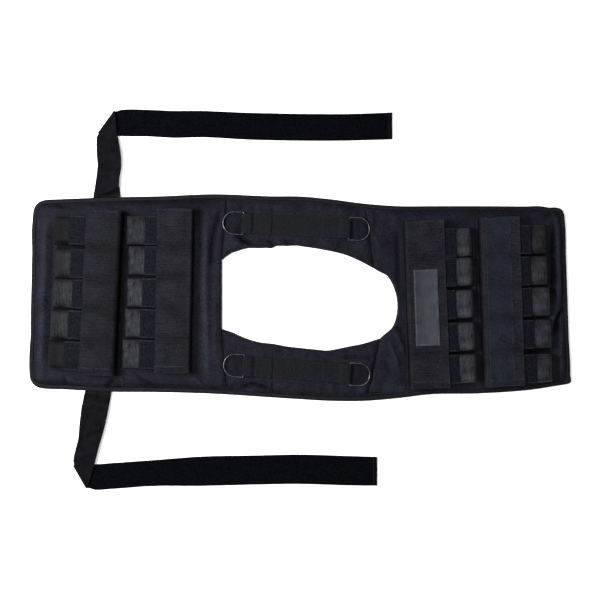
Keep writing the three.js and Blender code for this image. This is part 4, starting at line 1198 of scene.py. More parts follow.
@dataclass
class PocketRow:
    """Five filled pockets side by side, their fastening patches and the flap over their mouths."""

    name: str
    seed: float
    crest: float = 11.0 * MM
    reach: float = 0.0  # how far the pockets' cloth stands out past their nodes
    turn: float = 3.2 * MM  # the roundness of the flap where it comes up from its foot
    hem_height: float = 2.2 * MM
    patch_thickness: float = 1.3 * MM
    bulge: float = 1.0 * MM
    flap_thickness: float = 1.7 * MM
    flap_step: float = 2.0 * MM
    sink: float = 2.3 * MM  # how deep the flap dips between pockets
    hems: tuple[float, float] = (14 * MM, 5 * MM)  # how wide the flap's side hems are, the lower one first
    hem_thickness: float = 0.9 * MM
    tape_thickness: float = 1.1 * MM
    tilt: float = 0.6 * MM
    patch_lift: float = 0.9 * MM
    patch_fall: float = 3.2 * MM
    pocket_tones: tuple[float, ...] = (0.0, 0.0, 0.0, 0.0, 0.0)  # how much lighter each pocket is painted, from the left side to the right side, partly painted light and partly the pocket's own tone
    patch_shifts: tuple[float, ...] = (0.0, 0.0, 0.0, 0.0, 0.0)  # millimetres towards the flap
    # how much lighter the whole flap is painted, partly painted light and partly its own tone
    flap_tone: float = 0.0
    flap_ends: tuple[float, float] = (0.0, 0.0)  # millimetres past the flap's node at left and right
    foot_line: tuple[float, ...] = (0.0, 0.0, 1.0)  # a painted line by the flap's foot, painted light above 0 and painted shade below 0: tone, place and width
    back: bool = False  # whether the part by the patch is painted light against the pockets' dim ends, as a painted highlight
    tape: tuple[float, float] | None = None  # a tape on the flap: from its foot to its two edges

    def __post_init__(self) -> None:
        """Reads the places of the pockets from the frame."""
        self.pockets = [place_of(f"pocket_{self.name}_{i}") for i in range(1, 6)]
        self.base = self.pockets[2]
        from_left = sorted(range(5), key=lambda i: -self.pockets[i].start[1])
        self.tone_of = {i: self.pocket_tones[k] for k, i in enumerate(from_left)}
        self.shift_of = {i: self.patch_shifts[k] * MM for k, i in enumerate(from_left)}
        self.middles = sorted(float(self.base.to_own(p.start[None])[0, 1]) for p in self.pockets)
        low, high = self.base.extent(f"flap_{self.name}")
        self.foot, self.free, self.top = high[0], low[0], high[2]
        self.leftward = self.base.left[1] > 0
        more_left, more_right = self.flap_ends if self.leftward else self.flap_ends[::-1]
        self.right, self.left = low[1] - more_right * MM, high[1] + more_left * MM
        self.sewing = Stitcher()

    def tilt_of(self, number: int) -> float:
        """How far the side of a pocket is tilted up."""
        return noise.noise(Vector((self.seed, number, 0.5))) * self.tilt

    def fall_of(self, share: Any) -> Any:
        """How far a patch falls at a share of the way from its middle to its side."""
        return (1 - (1 - np.abs(share) ** 9) ** 0.5) * self.patch_fall

    def build_pocket(self, index: int) -> None:
        """Makes one pocket, shaped round the bar inside it, and its fastening patch."""
        place = self.pockets[index]
        number = index + 1
        end_rows = self.crest * 2.4 * np.linspace(0, 1, 36) ** 1.6
        along = np.concatenate((end_rows, np.linspace(self.crest * 2.7, place.length, 22)))
        angles = np.linspace(0, math.pi, 41)
        squareness = 1 / 3
        across = np.sign(np.cos(angles)) * np.abs(np.cos(angles)) ** squareness
        lift = np.abs(np.sin(angles)) ** squareness
        grid_along, grid_share = np.meshgrid(along, across, indexing="ij")
        climb = np.sin(math.pi / 2 * np.clip(grid_along / self.crest, 0, 1) ** 0.45)
        bell_in = bell(grid_along - 0.6 * self.crest, 10 * MM)
        half = (place.width / 2 + self.bulge) * (1 - 0.02 * climb - 0.02 * bell_in)
        crested = place.height * (1 + 0.015 * bell(grid_along - self.crest, 7 * MM))
        up = (self.hem_height + (crested - self.hem_height) * climb) * lift
        up += self.tilt_of(number) * grid_share * climb * lift
        dent = rough_field(np.stack((grid_along, grid_share * half), axis=-1) + number, 16 * MM, self.seed, 2)
        up += dent * 0.35 * MM * lift * (0.3 + 0.7 * climb)
        out = self.reach * (1 - smooth(0, 3 * self.crest, grid_along))
        grid = place.to_row(grid_along - out, grid_share * half, up)
        arc = np.cumsum(np.hypot(np.diff(across) * place.width / 2, np.diff(lift) * place.height))
        arc = np.broadcast_to(np.concatenate(([0], arc)), grid_along.shape)
        weave = np.stack((grid_along + up * 0.6, arc), axis=-1)
        shape = Shape()
        tone = self.tone_of[index]
        # the pocket's tone, painted highlights along its side edges and painted shade on its rising end
        painted_shading = tone + 1.2 * bell(np.abs(grid_share) - 0.97, 0.06) * lift
        painted_shading -= 0.5 * (1 + tone) * (1 - smooth(0.3, 0.8, climb))
        # on back rows a painted highlight on the crest by the patch
        if self.back:
            painted_shading += (1 + tone) * 0.5 * smooth(14 * MM, 24 * MM, grid_along)
        shape.add_hoops(shape.add_points(grid, weave + self.seed, painted_shading))
        node = f"pocket_{self.name}_{number}"
        piece = shape.finish(f"pocket_cloth_{self.name}_{number}", [Fabric.POCKET], [node])
        self.build_patch(place, number)

    def build_patch(self, place: Place, number: int) -> None:
        """Makes the fastening patch on top of a pocket."""
        node = f"loop_{self.name}_{number}"
        low, high = place.extent(node)
        start, end = low[0] + self.shift_of[number - 1], high[0]
        along = start + stations(end - start, 3 * MM)
        side = stations(0.24, 0.03, 0.012)
        share = np.concatenate((side - 1, np.linspace(-0.7, 0.7, 12), 0.76 + side))
        grid_along, grid_share = np.meshgrid(along, share, indexing="ij")
        wide = (place.width / 2 + self.bulge) * 0.975
        tilt = self.tilt_of(number)
        top = place.height + self.patch_lift
        places = np.stack((grid_along, grid_share * wide), axis=-1)
        up = top - self.fall_of(grid_share) + tilt * grid_share
        up += rough_field(places + number, 12 * MM, 4.4, 2) * 0.2 * MM
        grid = place.to_row(grid_along, grid_share * wide, up)
        shape = Shape()
        # painted highlights along the patch's side edges
        painted_shading = 1.6 * bell(np.abs(grid_share) - 0.97, 0.05)
        add_sheet(shape, grid, places + number * 0.1, self.patch_thickness, wear_and_painted_light=painted_shading)
        piece = shape.finish(f"patch_{self.name}_{number}", [Fabric.PILE], [node])
        line = np.linspace(start + 1 * MM, end - 1 * MM, 30)
        for edge in (-0.93, 0.93):
            over = top + self.patch_thickness / 2 - self.fall_of(edge) + tilt * edge
            self.sewing.run(place.to_row(line, np.full(30, edge * wide), np.full(30, over)))

    def flap_height(self, along: np.ndarray, across: np.ndarray) -> np.ndarray:
        """How far the flap's upper part lies over or under its plain height."""
        dip = np.zeros(along.shape)
        for first, second in zip(self.middles, self.middles[1:]):
            dip += bell(across - (first + second) / 2, 15 * MM)
        for end, outermost in ((self.right, self.middles[0]), (self.left, self.middles[-1])):
            edge = abs(end - outermost)
            past = smooth(edge - 10 * MM, edge + 4 * MM, np.abs(across - outermost))
            dip += 1.5 * past * (np.sign(across - outermost) == np.sign(end))
        open_share = smooth(0, 22 * MM, self.foot - 6 * MM - along)
        places = np.stack((along, across), axis=-1)
        waves = rough_field(places, 42 * MM, self.seed + 1, 2) * 0.9 * MM
        waves += rough_field(places, 14 * MM, self.seed + 2, 2) * 0.25 * MM
        lifted = rough_field(places, 70 * MM, self.seed + 3, 1) * 1.2 * MM
        lifted *= smooth(self.free + 16 * MM, self.free, along)
        dip *= self.sink * (0.25 + 0.75 * open_share)
        return waves * (0.3 + 0.7 * open_share) + np.abs(lifted) - dip

    def flap_shading(self, along: np.ndarray, across: np.ndarray, level: np.ndarray) -> np.ndarray:
        """The flap's painted light and shade: painted shade where it dips between pockets and on its wall,
        painted light at its hems.
        """
        lightness = np.full(along.shape, self.flap_tone)
        for first, second in zip(self.middles, self.middles[1:]):
            between = bell(across - (first + second) / 2, 15 * MM)
            lightness -= 0.6 * between * smooth(95 * MM, 20 * MM, along - self.free)
        for end in (self.right, self.left):
            lightness += 0.5 * bell(np.abs(across - end) - 1.5 * MM, 3 * MM)
        lightness += 0.4 * bell(along - self.free - 1 * MM, 2.5 * MM)
        # lighter towards the free edge and darker towards the foot
        lightness += 0.35 * ((self.foot - along) / (self.foot - self.free) - 0.5)
        lightness += self.foot_line[0] * bell(self.foot - self.foot_line[1] - along, self.foot_line[2])
        # painted shade on the flap's wall
        return np.maximum(lightness - 0.85 * (1 - level), -0.9)

    def build_flap(self) -> None:
        """Makes the flap: up from its sewn foot, over the pockets' mouths and out to its free edge."""
        corner = self.turn
        mid = self.top - self.flap_thickness / 2
        lean = 1.4 * MM
        turn = [
            (self.foot - lean - corner * (1 - math.cos(a)), mid - corner * (1 - math.sin(a)))
            for a in np.linspace(0, math.pi / 2, 7)
        ]
        sewn = [(self.foot + 2.5 * MM, 0.6 * MM), (self.foot, 0.9 * MM), (self.foot - 1.2 * MM, 4 * MM)]
        wall = along_line(np.array(sewn + turn), 1.4 * MM)
        flat = stations(wall[-1, 0] - self.free, self.flap_step)[1:]
        profile = np.concatenate((wall, np.column_stack((wall[-1, 0] - flat, np.full(len(flat), mid)))))
        run = np.concatenate(([0], np.cumsum(np.linalg.norm(np.diff(profile, axis=0), axis=1))))
        across = self.left - stations(self.left - self.right, self.flap_step)
        grid_run, grid_across = np.meshgrid(run, across, indexing="ij")
        grid_along = np.broadcast_to(profile[:, :1], grid_run.shape).copy()
        up = np.broadcast_to(profile[:, 1:], grid_run.shape).copy()
        level = smooth(0.5 * self.top, 0.95 * self.top, up)
        up += self.flap_height(grid_along, grid_across) * level
        edge_wave = rough_field(np.stack((grid_across, grid_across * 0), axis=-1), 55 * MM, self.seed + 5, 2)
        grid_along += edge_wave * 0.9 * MM * smooth(20 * MM, 0, grid_along - self.free)
        side_wave = rough_field(np.stack((grid_along, grid_along * 0), axis=-1), 45 * MM, self.seed + 6, 1)
        end_share = np.abs(grid_across) / max(abs(self.left), abs(self.right))
        grid_across_now = grid_across + side_wave * 0.8 * MM * smooth(0.9, 1.0, end_share)
        thick = np.full(grid_run.shape, self.flap_thickness)
        ends = (grid_across - self.right, self.left - grid_across)
        for hem, off in zip(self.hems, ends if self.leftward else ends[::-1]):
            thick += self.hem_thickness * (1 - smooth(hem, hem + 0.6 * MM, off))
        thick += 0.7 * MM * (1 - smooth(1.2 * MM, 2.4 * MM, grid_along - self.free)) * level
        if self.tape:
            near, far = (smooth(0.5 * MM, -0.5 * MM, grid_along - self.foot + edge) for edge in self.tape)
            thick += self.tape_thickness * near * (1 - far) * level
        grid = self.base.to_row(grid_along, grid_across_now, up)
        weave = np.stack((grid_run, grid_across), axis=-1) + self.seed * 0.37
        shape = Shape()
        add_sheet(shape, grid, weave, thick, wear_and_painted_light=self.flap_shading(grid_along, grid_across, level))
        if self.tape:
            self._paint_tape(shape, grid_along, level)
        piece = shape.finish(f"flap_cloth_{self.name}", [Fabric.FLAP, Fabric.TAPE], [f"flap_{self.name}"])
        float(self.left - self.right)
        self._sew_flap(grid, thick, profile, across, level)

    def _paint_tape(self, shape: Shape, along: np.ndarray, level: np.ndarray) -> None:
        """Gives the tape's faces on the flap's upper side their own finish."""
        middle = self.foot - (along[:-1, :-1] + along[1:, 1:]) / 2
        taped = (middle > self.tape[0]) & (middle < self.tape[1]) & (level[:-1, :-1] > 0.5)
        for k in np.flatnonzero(taped.ravel()):
            shape.slots[k] = 1

    def _sew_flap(
        self, grid: np.ndarray, thick: np.ndarray, profile: np.ndarray, across: np.ndarray, level: np.ndarray
    ) -> None:
        """Sews the flap's foot, its hems and the edges of its tape."""
        normal = normals_of(grid)
        surface = grid + normal * (thick / 2)[..., None]
        lines = [np.s_[1]]
        top = np.flatnonzero(level[:, 0] > 0.9)[0]
        for depth, lower in ((12.5 * MM, True), (3.6 * MM, False)):
            at = self.right + depth if lower == self.leftward else self.left - depth
            lines.append(np.s_[top:, int(np.abs(across - at).argmin())])
        if self.tape:
            for depth in (self.tape[0] + 1.8 * MM, self.tape[1] - 1.8 * MM):
                lines.append(np.s_[int(np.abs(profile[:, 0] - (self.foot - depth)).argmin())])
        for line in lines:
            self.sewing.run(surface[line], normal[line])

    def build(self) -> None:
        """Makes the row."""
        for index in range(len(self.pockets)):
            self.build_pocket(index)
        self.build_flap()
        self.sewing.finish(f"row_stitches_{self.name}")


@dataclass
class LabelPatch:
    """The bare satin patch on the inner front flap."""

    row: PocketRow
    thickness: float = 0.9 * MM
    step: float = 2.0 * MM

    def build(self) -> None:
        """Makes the patch, following the flap under it, and the stitches round it."""
        low, high = self.row.base.extent("label_patch")
        along = high[0] - stations(high[0] - low[0], self.step)
        across = high[1] - stations(high[1] - low[1], self.step)
        grid_along, grid_across = np.meshgrid(along, across, indexing="ij")
        up = high[2] - self.thickness / 2 + self.row.flap_height(grid_along, grid_across)
        places = np.stack((grid_along, grid_across), axis=-1)
        up += rough_field(places, 20 * MM, 7.7, 2) * 0.35 * MM + 0.25 * MM
        grid = self.row.base.to_row(grid_along, grid_across, up)
        shape = Shape()
        share = (places - low[:2]) / (high - low)[:2]
        # painted sheen: lighter towards one corner of the label
        sheen = 0.9 * (0.5 - share[..., 0]) + 0.3 * (share[..., 1] - 0.5) + 0.2
        add_sheet(shape, grid, places, self.thickness, wear_and_painted_light=sheen)
        piece = shape.finish("label_cloth", [Fabric.LABEL], ["label_patch"])
        normal = normals_of(grid)
        surface = grid + normal * self.thickness / 2
        sewing = Stitcher(5.4 * MM, 2.1 * MM, 0.6 * MM)
        for edge in (np.s_[2, 1:-1], np.s_[-3, 1:-1], np.s_[1:-1, 2], np.s_[1:-1, -3]):
            sewing.run(surface[edge], normal[edge])
        sewing.finish("label_stitches", Fabric.PALE_THREAD)


@dataclass
class ShoulderWeb:
    """The webbing over a shoulder, looped round the straight bar of a D-ring at both ends."""

    side: str
    thickness: float = 1.7 * MM
    wire: float = 3.0 * MM
    play: float = 0.5 * MM
    doubled: float = 56.0 * MM
    sewn_box: float = 30.0 * MM
    inset: float = 2.2 * MM  # from the webbing's edge to its stitches
    step: float = 1.6 * MM

    def __post_init__(self) -> None:
        """Reads the webbing's place from the frame."""
        self.node = f"shoulder_web_{self.side}"
        self.place = place_of(self.node, False)
        low, high = self.place.extent(self.node)
        self.width = high[1] - low[1]
        self.middle = (low[0] + high[0]) / 2
        self.reach = (high[0] - low[0]) / 2

    def half_line(self) -> np.ndarray:
        """The webbing's line from its middle, round a bar and back over itself."""
        around = self.wire / 2 + self.play + self.thickness / 2
        bar = self.reach - around - self.thickness / 2
        up = self.thickness / 2 + around
        turn = [(bar + around * math.sin(a), up - around * math.cos(a)) for a in np.linspace(0, math.pi, 13)]
        back = [
            (bar - 6 * MM, up + around * 0.98),
            (bar - 13 * MM, up + around * 0.8),
            (bar - 17 * MM, self.thickness * 1.5 + 1.5 * MM),
            (bar - 19 * MM, self.thickness * 1.5 + 0.35 * MM),
            (self.reach - self.doubled, self.thickness * 1.5 + 0.25 * MM),
        ]
        return np.array([(0.0, self.thickness / 2), *turn, *back])

    def build(self) -> None:
        """Makes the webbing and its stitches."""
        half = self.half_line()
        mirrored = half[::-1] * np.array([-1, 1])
        line = along_line(np.concatenate((mirrored, half[1:])), self.step)
        run = np.arange(len(line)) * self.step
        across = self.width / 2 - stations(self.width, 1.9 * MM)
        grid_run, grid_across = np.meshgrid(run, across, indexing="ij")
        along = self.middle + np.broadcast_to(line[:, :1], grid_run.shape)
        up = np.broadcast_to(line[:, 1:], grid_run.shape).copy()
        places = np.stack((along, grid_across), axis=-1)
        up += rough_field(places, 30 * MM, 6.1 + len(self.side), 2) * 0.35 * MM + 0.1 * MM
        grid = self.place.to_row(along, grid_across, up)
        shape = Shape()
        add_sheet(shape, grid[::-1], np.stack((grid_run, grid_across), axis=-1)[::-1], self.thickness)
        piece = shape.finish(f"shoulder_webbing_{self.side}", [Fabric.WEB], [self.node])
        self._sew()

    def _sew(self) -> None:
        """Sews the edges of the webbing, a box with a cross at each end, and the line behind each ring."""
        sewing = Stitcher()
        edge = self.width / 2 - self.inset
        low = self.thickness + 0.35 * MM
        high = 2 * self.thickness + 0.65 * MM

        inner = self.reach - self.doubled
        lines = [(low, (-inner, sign * edge), (inner, sign * edge)) for sign in (-1, 1)]
        for end in (-1, 1):
            near, far = end * (inner + 3 * MM), end * (self.reach - 19 * MM)
            box_end = end * (inner + self.sewn_box)
            lines += [
                (high, (near, edge), (far, edge), (far, -edge), (near, -edge), (near, edge)),
                (high, (near, edge), (box_end, -edge)),
                (high, (near, -edge), (box_end, edge)),
                (high, (box_end, -edge), (box_end, edge)),
            ]
        for up, *points in lines:
            flat = along_line(np.array(points), 3 * MM)
            sewing.run(self.place.to_row(self.middle + flat[:, 0], flat[:, 1], np.full(len(flat), up)))
        sewing.finish(f"shoulder_stitches_{self.side}", Fabric.DARK_THREAD)


@dataclass
class DRing:
    """A ring bent from wire, with its straight bar held by the webbing."""

    side: str
    panel: str
    sides: int = 20
    corner: float = 2.0 * MM

    def build(self) -> None:
        """Makes the ring where its node lies."""
        node = f"d_ring_{self.side}_{self.panel}"
        joint = next(j for j in frame["joints"] if j["child"] == f"ring_{self.side}_{self.panel}")
        pivot = np.array(joint["pos_m"])
        axis = np.array(joint["axis"])
        corners, _ = node_mesh(node)
        off = corners - pivot
        half_height = (off @ axis).max()
        aside = np.cross(axis, [0, 0, 1.0])
        aside *= np.sign((off @ aside).mean())
        far = off[(off @ aside).argmax()]
        wire = 2 * abs((off[np.abs(off @ aside) < 2.5 * MM] @ aside).min())
        bow = far - axis * (far @ axis)
        bow[2] = off[off @ aside > (off @ aside).max() - 2 * MM][:, 2].mean()
        depth = np.linalg.norm(bow) - wire / 2
        ahead = bow / np.linalg.norm(bow)
        up = np.cross(ahead, axis)
        up *= np.sign(up[2])
        radius = half_height - wire / 2
        middle = depth - radius
        half = math.pi / 2
        bend = np.linspace(-half, half, 33)
        outline = [(middle + radius * math.cos(a), radius * math.sin(a)) for a in bend]
        for sign, sweep in ((1, np.linspace(0, half, 6)), (-1, np.linspace(half, 0, 6))):
            for a in sweep:
                corner = self.corner * (1 - math.sin(a)), radius - self.corner * (1 - math.cos(a))
                outline.append((corner[0], sign * corner[1]))
        spine = np.array([pivot + ahead * x + axis * y for x, y in outline])
        tangent = heading_on(spine)
        tangent /= np.linalg.norm(tangent, axis=1, keepdims=True)
        out = np.cross(tangent, up)
        angles = np.arange(self.sides) * 2 * math.pi / self.sides
        grid = np.array([spine + wire / 2 * (out * math.cos(a) + up * math.sin(a)) for a in angles])
        shape = Shape()
        shape.add_hoops(shape.add_points(grid, np.zeros((*grid.shape[:2], 2))), flip=True, joined=True)
        shape.finish(f"ring_wire_{self.side}_{self.panel}", [Fabric.STEEL], [node], joint["child"])


class Layer(Enum):
    """Where a stretch of belt lies at its fold."""

    ROOT = "root"
    UPPER = "upper"
    FOLD = "fold"
    LOWER = "lower"


@dataclass(frozen=True)
class BeltRow:
    """One cross line of a belt: its middle in metres, its slant in degrees, its width and its layer."""

    x: float
    y: float
    slant: float
    width: float
    layer: Layer


@dataclass
class WaistBelt:
    """A belt from the back panel's edge, folded under once at a corner."""

    side: str
    rows: tuple[BeltRow, ...]
    edge: np.ndarray
    folds: tuple[Fold, ...] = ()
    thickness: float = 2.0 * MM
    lift: float = 4.6 * MM
    sewn_in: float = 3.0 * MM
    clearance: float = 0.15 * MM  # between the belt and the floor
    root_height: float = 1.4 * MM
    waves: float = 1.6 * MM
    step: float = 3.2 * MM

    def _rails(self) -> tuple[np.ndarray, np.ndarray, list[int]]:
        """The belt's two edges at each cross line, and the cross lines' layers."""
        spots = []
        out = 1.0 if self.side == "left" else -1.0
        for row in self.rows:
            angle = math.radians(row.slant) * out
            half = np.array([math.cos(angle), math.sin(angle)]) * row.width / 2
            middle = np.array([row.x, row.y])
            if row.layer is Layer.ROOT:
                ends = [self._at_edge(row.x + k * row.width / 2, out) for k in (-1, 1)]
                spots.append((*ends, self.root_height, 0))
            elif row.layer is Layer.FOLD:
                outward = np.array([-math.sin(angle), math.cos(angle)]) * out
                for turn in np.linspace(0, math.pi, 9):
                    now = middle + outward * math.sin(turn) * self.lift / 2
                    up = self.clearance + self.lift * (1 + math.cos(turn)) / 2
                    spots.append((now - half, now + half, up, 1 if turn < math.pi / 2 else 2))
            elif row.layer is Layer.UPPER:
                spots.append((middle - half, middle + half, self.clearance + self.lift, 0))
            else:
                spots.append((middle - half, middle + half, self.clearance, 2))
        first, second = (
            np.array([[*spot[k], self.thickness / 2 + spot[2]] for spot in spots]) for k in (0, 1)
        )
        return first, second, [spot[3] for spot in spots]

    def _at_edge(self, x: float, out: float) -> tuple[float, float]:
        """A place just inside the vest's edge, where the belt is sewn in."""
        side = self.edge[self.edge[:, 1] * out > 0]
        side = side[side[:, 0].argsort()]
        return x, float(np.interp(x, side[:, 0], side[:, 1])) - out * self.sewn_in

    def build(self) -> None:
        """Makes the belt and sews its free end."""
        first, second, layers = self._rails()
        middle = (first + second) / 2
        lengths = np.linalg.norm(np.diff(middle, axis=0), axis=1)
        run = np.concatenate(([0], np.cumsum(lengths)))
        at = [0.0]
        for start, length in zip(run[:-1], lengths):
            steps = max(1, round(length / self.step))
            at += [start + length * k / steps for k in range(1, steps + 1)]
        at = np.array(at[:-1] + [at[-1] - 0.4 * MM, at[-1]])
        rails = [self._smooth(run, rail, at) for rail in (first, second)]
        share = stations(1.0, 0.055, 0.01)
        grid = rails[0][:, None] * (1 - share)[:, None] + rails[1][:, None] * share[:, None]
        below = np.interp(at, run, [1.0 if layer == 2 else 0.0 for layer in layers])
        fold_at = run[layers.index(2)]
        wave = rough_field(grid[..., :2], 45 * MM, 9.2 + len(self.side), 2) * self.waves
        crumple = rough_field(grid[..., :2], 16 * MM, 4.2 + len(self.side), 2)
        near_fold = bell(at - fold_at, 60 * MM)
        grid[..., 2] += np.abs(wave) * (1 - 0.8 * near_fold)[:, None]
        curl = (np.abs(share - 0.5) * 2) ** 4 * 0.5 * MM
        grid[..., 2] += curl[None, :] * (1 - near_fold)[:, None]
        legs = (below < 0.5)[:, None]
        clear = (1 - near_fold) * smooth(0, 12 * MM, at)
        grid[..., 2] += (np.abs(crumple) * (0.4 + 1.4 * legs) * MM) * clear[:, None]
        # the legs' tone: random light and dark from the crumple field, lighter at the edges and a little
        # darker overall
        wear_and_painted_light = np.where(legs, crumple * 0.8 + 0.5 * bell(np.abs(share - 0.5) - 0.48, 0.06) - 0.18, 0.0)
        for fold in self.folds:
            near = fold.near(grid[..., :2].reshape(-1, 2), np.array(fold.line), 0.6)[0].reshape(wear_and_painted_light.shape)
            grid[..., 2] += fold.height * MM * near * legs
            # painted light on the folds' ridges and painted shade in their creases and by the root
            wear_and_painted_light += (fold.height / 3 + fold.tone) * near * legs
        weave = np.where(legs[..., None], grid[..., 1::-1], grid[..., :2])
        if self.side == "left":
            grid, weave, wear_and_painted_light = grid[:, ::-1], weave[:, ::-1], wear_and_painted_light[:, ::-1]
        shape = Shape()
        add_sheet(shape, grid, weave, self.thickness, (0, 1), wear_and_painted_light)
        fabrics = [Fabric.BELT, Fabric.BELT_PILE]
        piece = shape.finish(f"belt_cloth_{self.side}", fabrics, [f"belt_{self.side}"])
        width = float(np.linalg.norm(second - first, axis=1).mean())
        normal = normals_of(grid)
        sewing = Stitcher()
        for line, side in ((np.s_[-4, 1:-1], -1), (np.s_[2, 1:-1], 1)):
            sewing.run((grid + side * normal * self.thickness / 2)[line], side * normal[line])
        sewing.finish(f"belt_stitches_{self.side}", Fabric.DARK_THREAD)

    @staticmethod
    def _smooth(run: np.ndarray, rail: np.ndarray, at: np.ndarray) -> np.ndarray:
        """Reads a rail at given lengths, with rounded corners between its cross lines."""
        slope = np.gradient(rail, run, axis=0)
        flat = np.abs(np.diff(run)) < 12 * MM
        result = np.empty((len(at), 3))
        for k, place in enumerate(at):
            i = min(max(int(np.searchsorted(run, place, "right")) - 1, 0), len(run) - 2)
            width = run[i + 1] - run[i]
            t = (place - run[i]) / width
            if flat[i] or (i > 0 and flat[i - 1]) or (i + 2 < len(run) and flat[i + 1]):
                result[k] = rail[i] * (1 - t) + rail[i + 1] * t
                continue
            result[k] = hermite(t, rail[i], width * slope[i], rail[i + 1], width * slope[i + 1])
        return result


def belt_rows(
    root: tuple[float, float], leg: float, reach: float, width: float, out: float, table: Sequence[tuple]
) -> tuple[BeltRow, ...]:
    """Turns a belt's table of shares into cross lines.

    Args:
        root: where the middle of its root lies.
        leg: from the vest's edge to the folded corner.
        reach: from the corner to the free end.
        width: the belt's full width.
        out: 1 if it leaves towards +Y, or -1.
        table: rows of run, reach, drift, slant, width share and layer.

    Returns:
        The cross lines in metres.
    """
    return tuple(
        BeltRow(root[0] + far * reach + drift * width, root[1] + out * run * leg, slant, wide * width, layer)
        for run, far, drift, slant, wide, layer in table
    )


LEFT_BELT_TABLE = (
    (0.0, 0.0, 0.0, 0, 1.02, Layer.ROOT),
    (0.223, 0.0, 0.056, -2, 0.86, Layer.UPPER),
    (0.378, 0.0, 0.11, -5, 0.875, Layer.UPPER),
    (0.588, 0.0, 0.083, -7, 0.9, Layer.UPPER),
    (0.72, 0.0, 0.05, -1, 0.82, Layer.UPPER),
    (0.82, 0.0, 0.01, 16, 0.76, Layer.UPPER),
    (0.972, 0.0, 0.018, 54, 1.03, Layer.FOLD),
    (0.973, 0.04, 0.0, 81, 0.97, Layer.LOWER),
    (0.968, 0.151, 0.0, 90, 0.99, Layer.LOWER),
    (0.953, 0.228, 0.0, 90, 1.0, Layer.LOWER),
    (0.956, 0.326, 0.0, 90, 0.98, Layer.LOWER),
    (0.927, 0.501, 0.0, 90, 1.0, Layer.LOWER),
    (0.913, 0.675, 0.0, 90, 1.0, Layer.LOWER),
    (0.913, 0.85, 0.0, 90, 0.99, Layer.LOWER),
    (0.932, 1.0, 0.0, 90, 1.0, Layer.LOWER),
)
RIGHT_BELT_TABLE = (
    (0.0, 0.0, 0.0, 0, 0.98, Layer.ROOT),
    (0.13, 0.0, -0.1, 0, 1.0, Layer.UPPER),
    (0.333, 0.0, -0.204, 0, 0.963, Layer.UPPER),
    (0.531, 0.0, -0.306, 0, 0.86, Layer.UPPER),
    (0.704, 0.0, -0.444, 0, 0.84, Layer.UPPER),
    (0.83, 0.0, -0.528, 8, 0.8, Layer.UPPER),
    (1.007, 0.0, -0.65, 60, 0.98, Layer.FOLD),
    (1.019, 0.0, -0.28, 78, 0.95, Layer.LOWER),
    (1.005, 0.042, 0.0, 88, 0.96, Layer.LOWER),
    (0.97, 0.186, 0.0, 90, 0.96, Layer.LOWER),
    (0.945, 0.366, 0.0, 90, 1.09, Layer.LOWER),
    (0.931, 0.546, 0.0, 90, 1.08, Layer.LOWER),
    (0.921, 0.726, 0.0, 90, 1.09, Layer.LOWER),
    (0.939, 0.906, 0.0, 90, 1.09, Layer.LOWER),
    (0.945, 1.0, 0.0, 90, 1.07, Layer.LOWER),
)
# Ridges and creases on the belts' legs, in metres: their heights and tones give painted light on ridges and
# painted shade in creases, and a fold of no height only paints shade.
LEFT_BELT_FOLDS = (
    Fold(((-0.384, 0.192), (-0.357, 0.2), (-0.331, 0.216)), 7, 2.4, 0.7),
    Fold(((-0.38, 0.186), (-0.355, 0.192), (-0.332, 0.203)), 8, -1.2, -0.4),
    Fold(((-0.382, 0.19), (-0.35, 0.193), (-0.331, 0.2)), 13, -0.6, 0.0, -0.4),
    Fold(((-0.338, 0.292), (-0.341, 0.32), (-0.336, 0.345)), 6, -0.4, 0.0, -0.2),
    Fold(((-0.372, 0.262), (-0.333, 0.272)), 9, 1.2, 0.4),
    Fold(((-0.376, 0.25), (-0.333, 0.24)), 8, -1.0),
    Fold(((-0.374, 0.285), (-0.35, 0.303), (-0.34, 0.33)), 7, 1.0),
)
RIGHT_BELT_FOLDS = (
    Fold(((-0.398, -0.166), (-0.347, -0.169)), 9, 0.0, 0.0, -0.35),
    Fold(((-0.393, -0.172), (-0.375, -0.184), (-0.347, -0.188)), 7, -1.8, 0.4, -0.4),
    Fold(((-0.4, -0.2), (-0.38, -0.192), (-0.35, -0.2)), 9, 1.4, 0.0, 0.25),
    Fold(((-0.41, -0.26), (-0.365, -0.245)), 9, -0.9, 0.0, -0.15),
    Fold(((-0.418, -0.29), (-0.373, -0.28)), 9, 0.9),
)


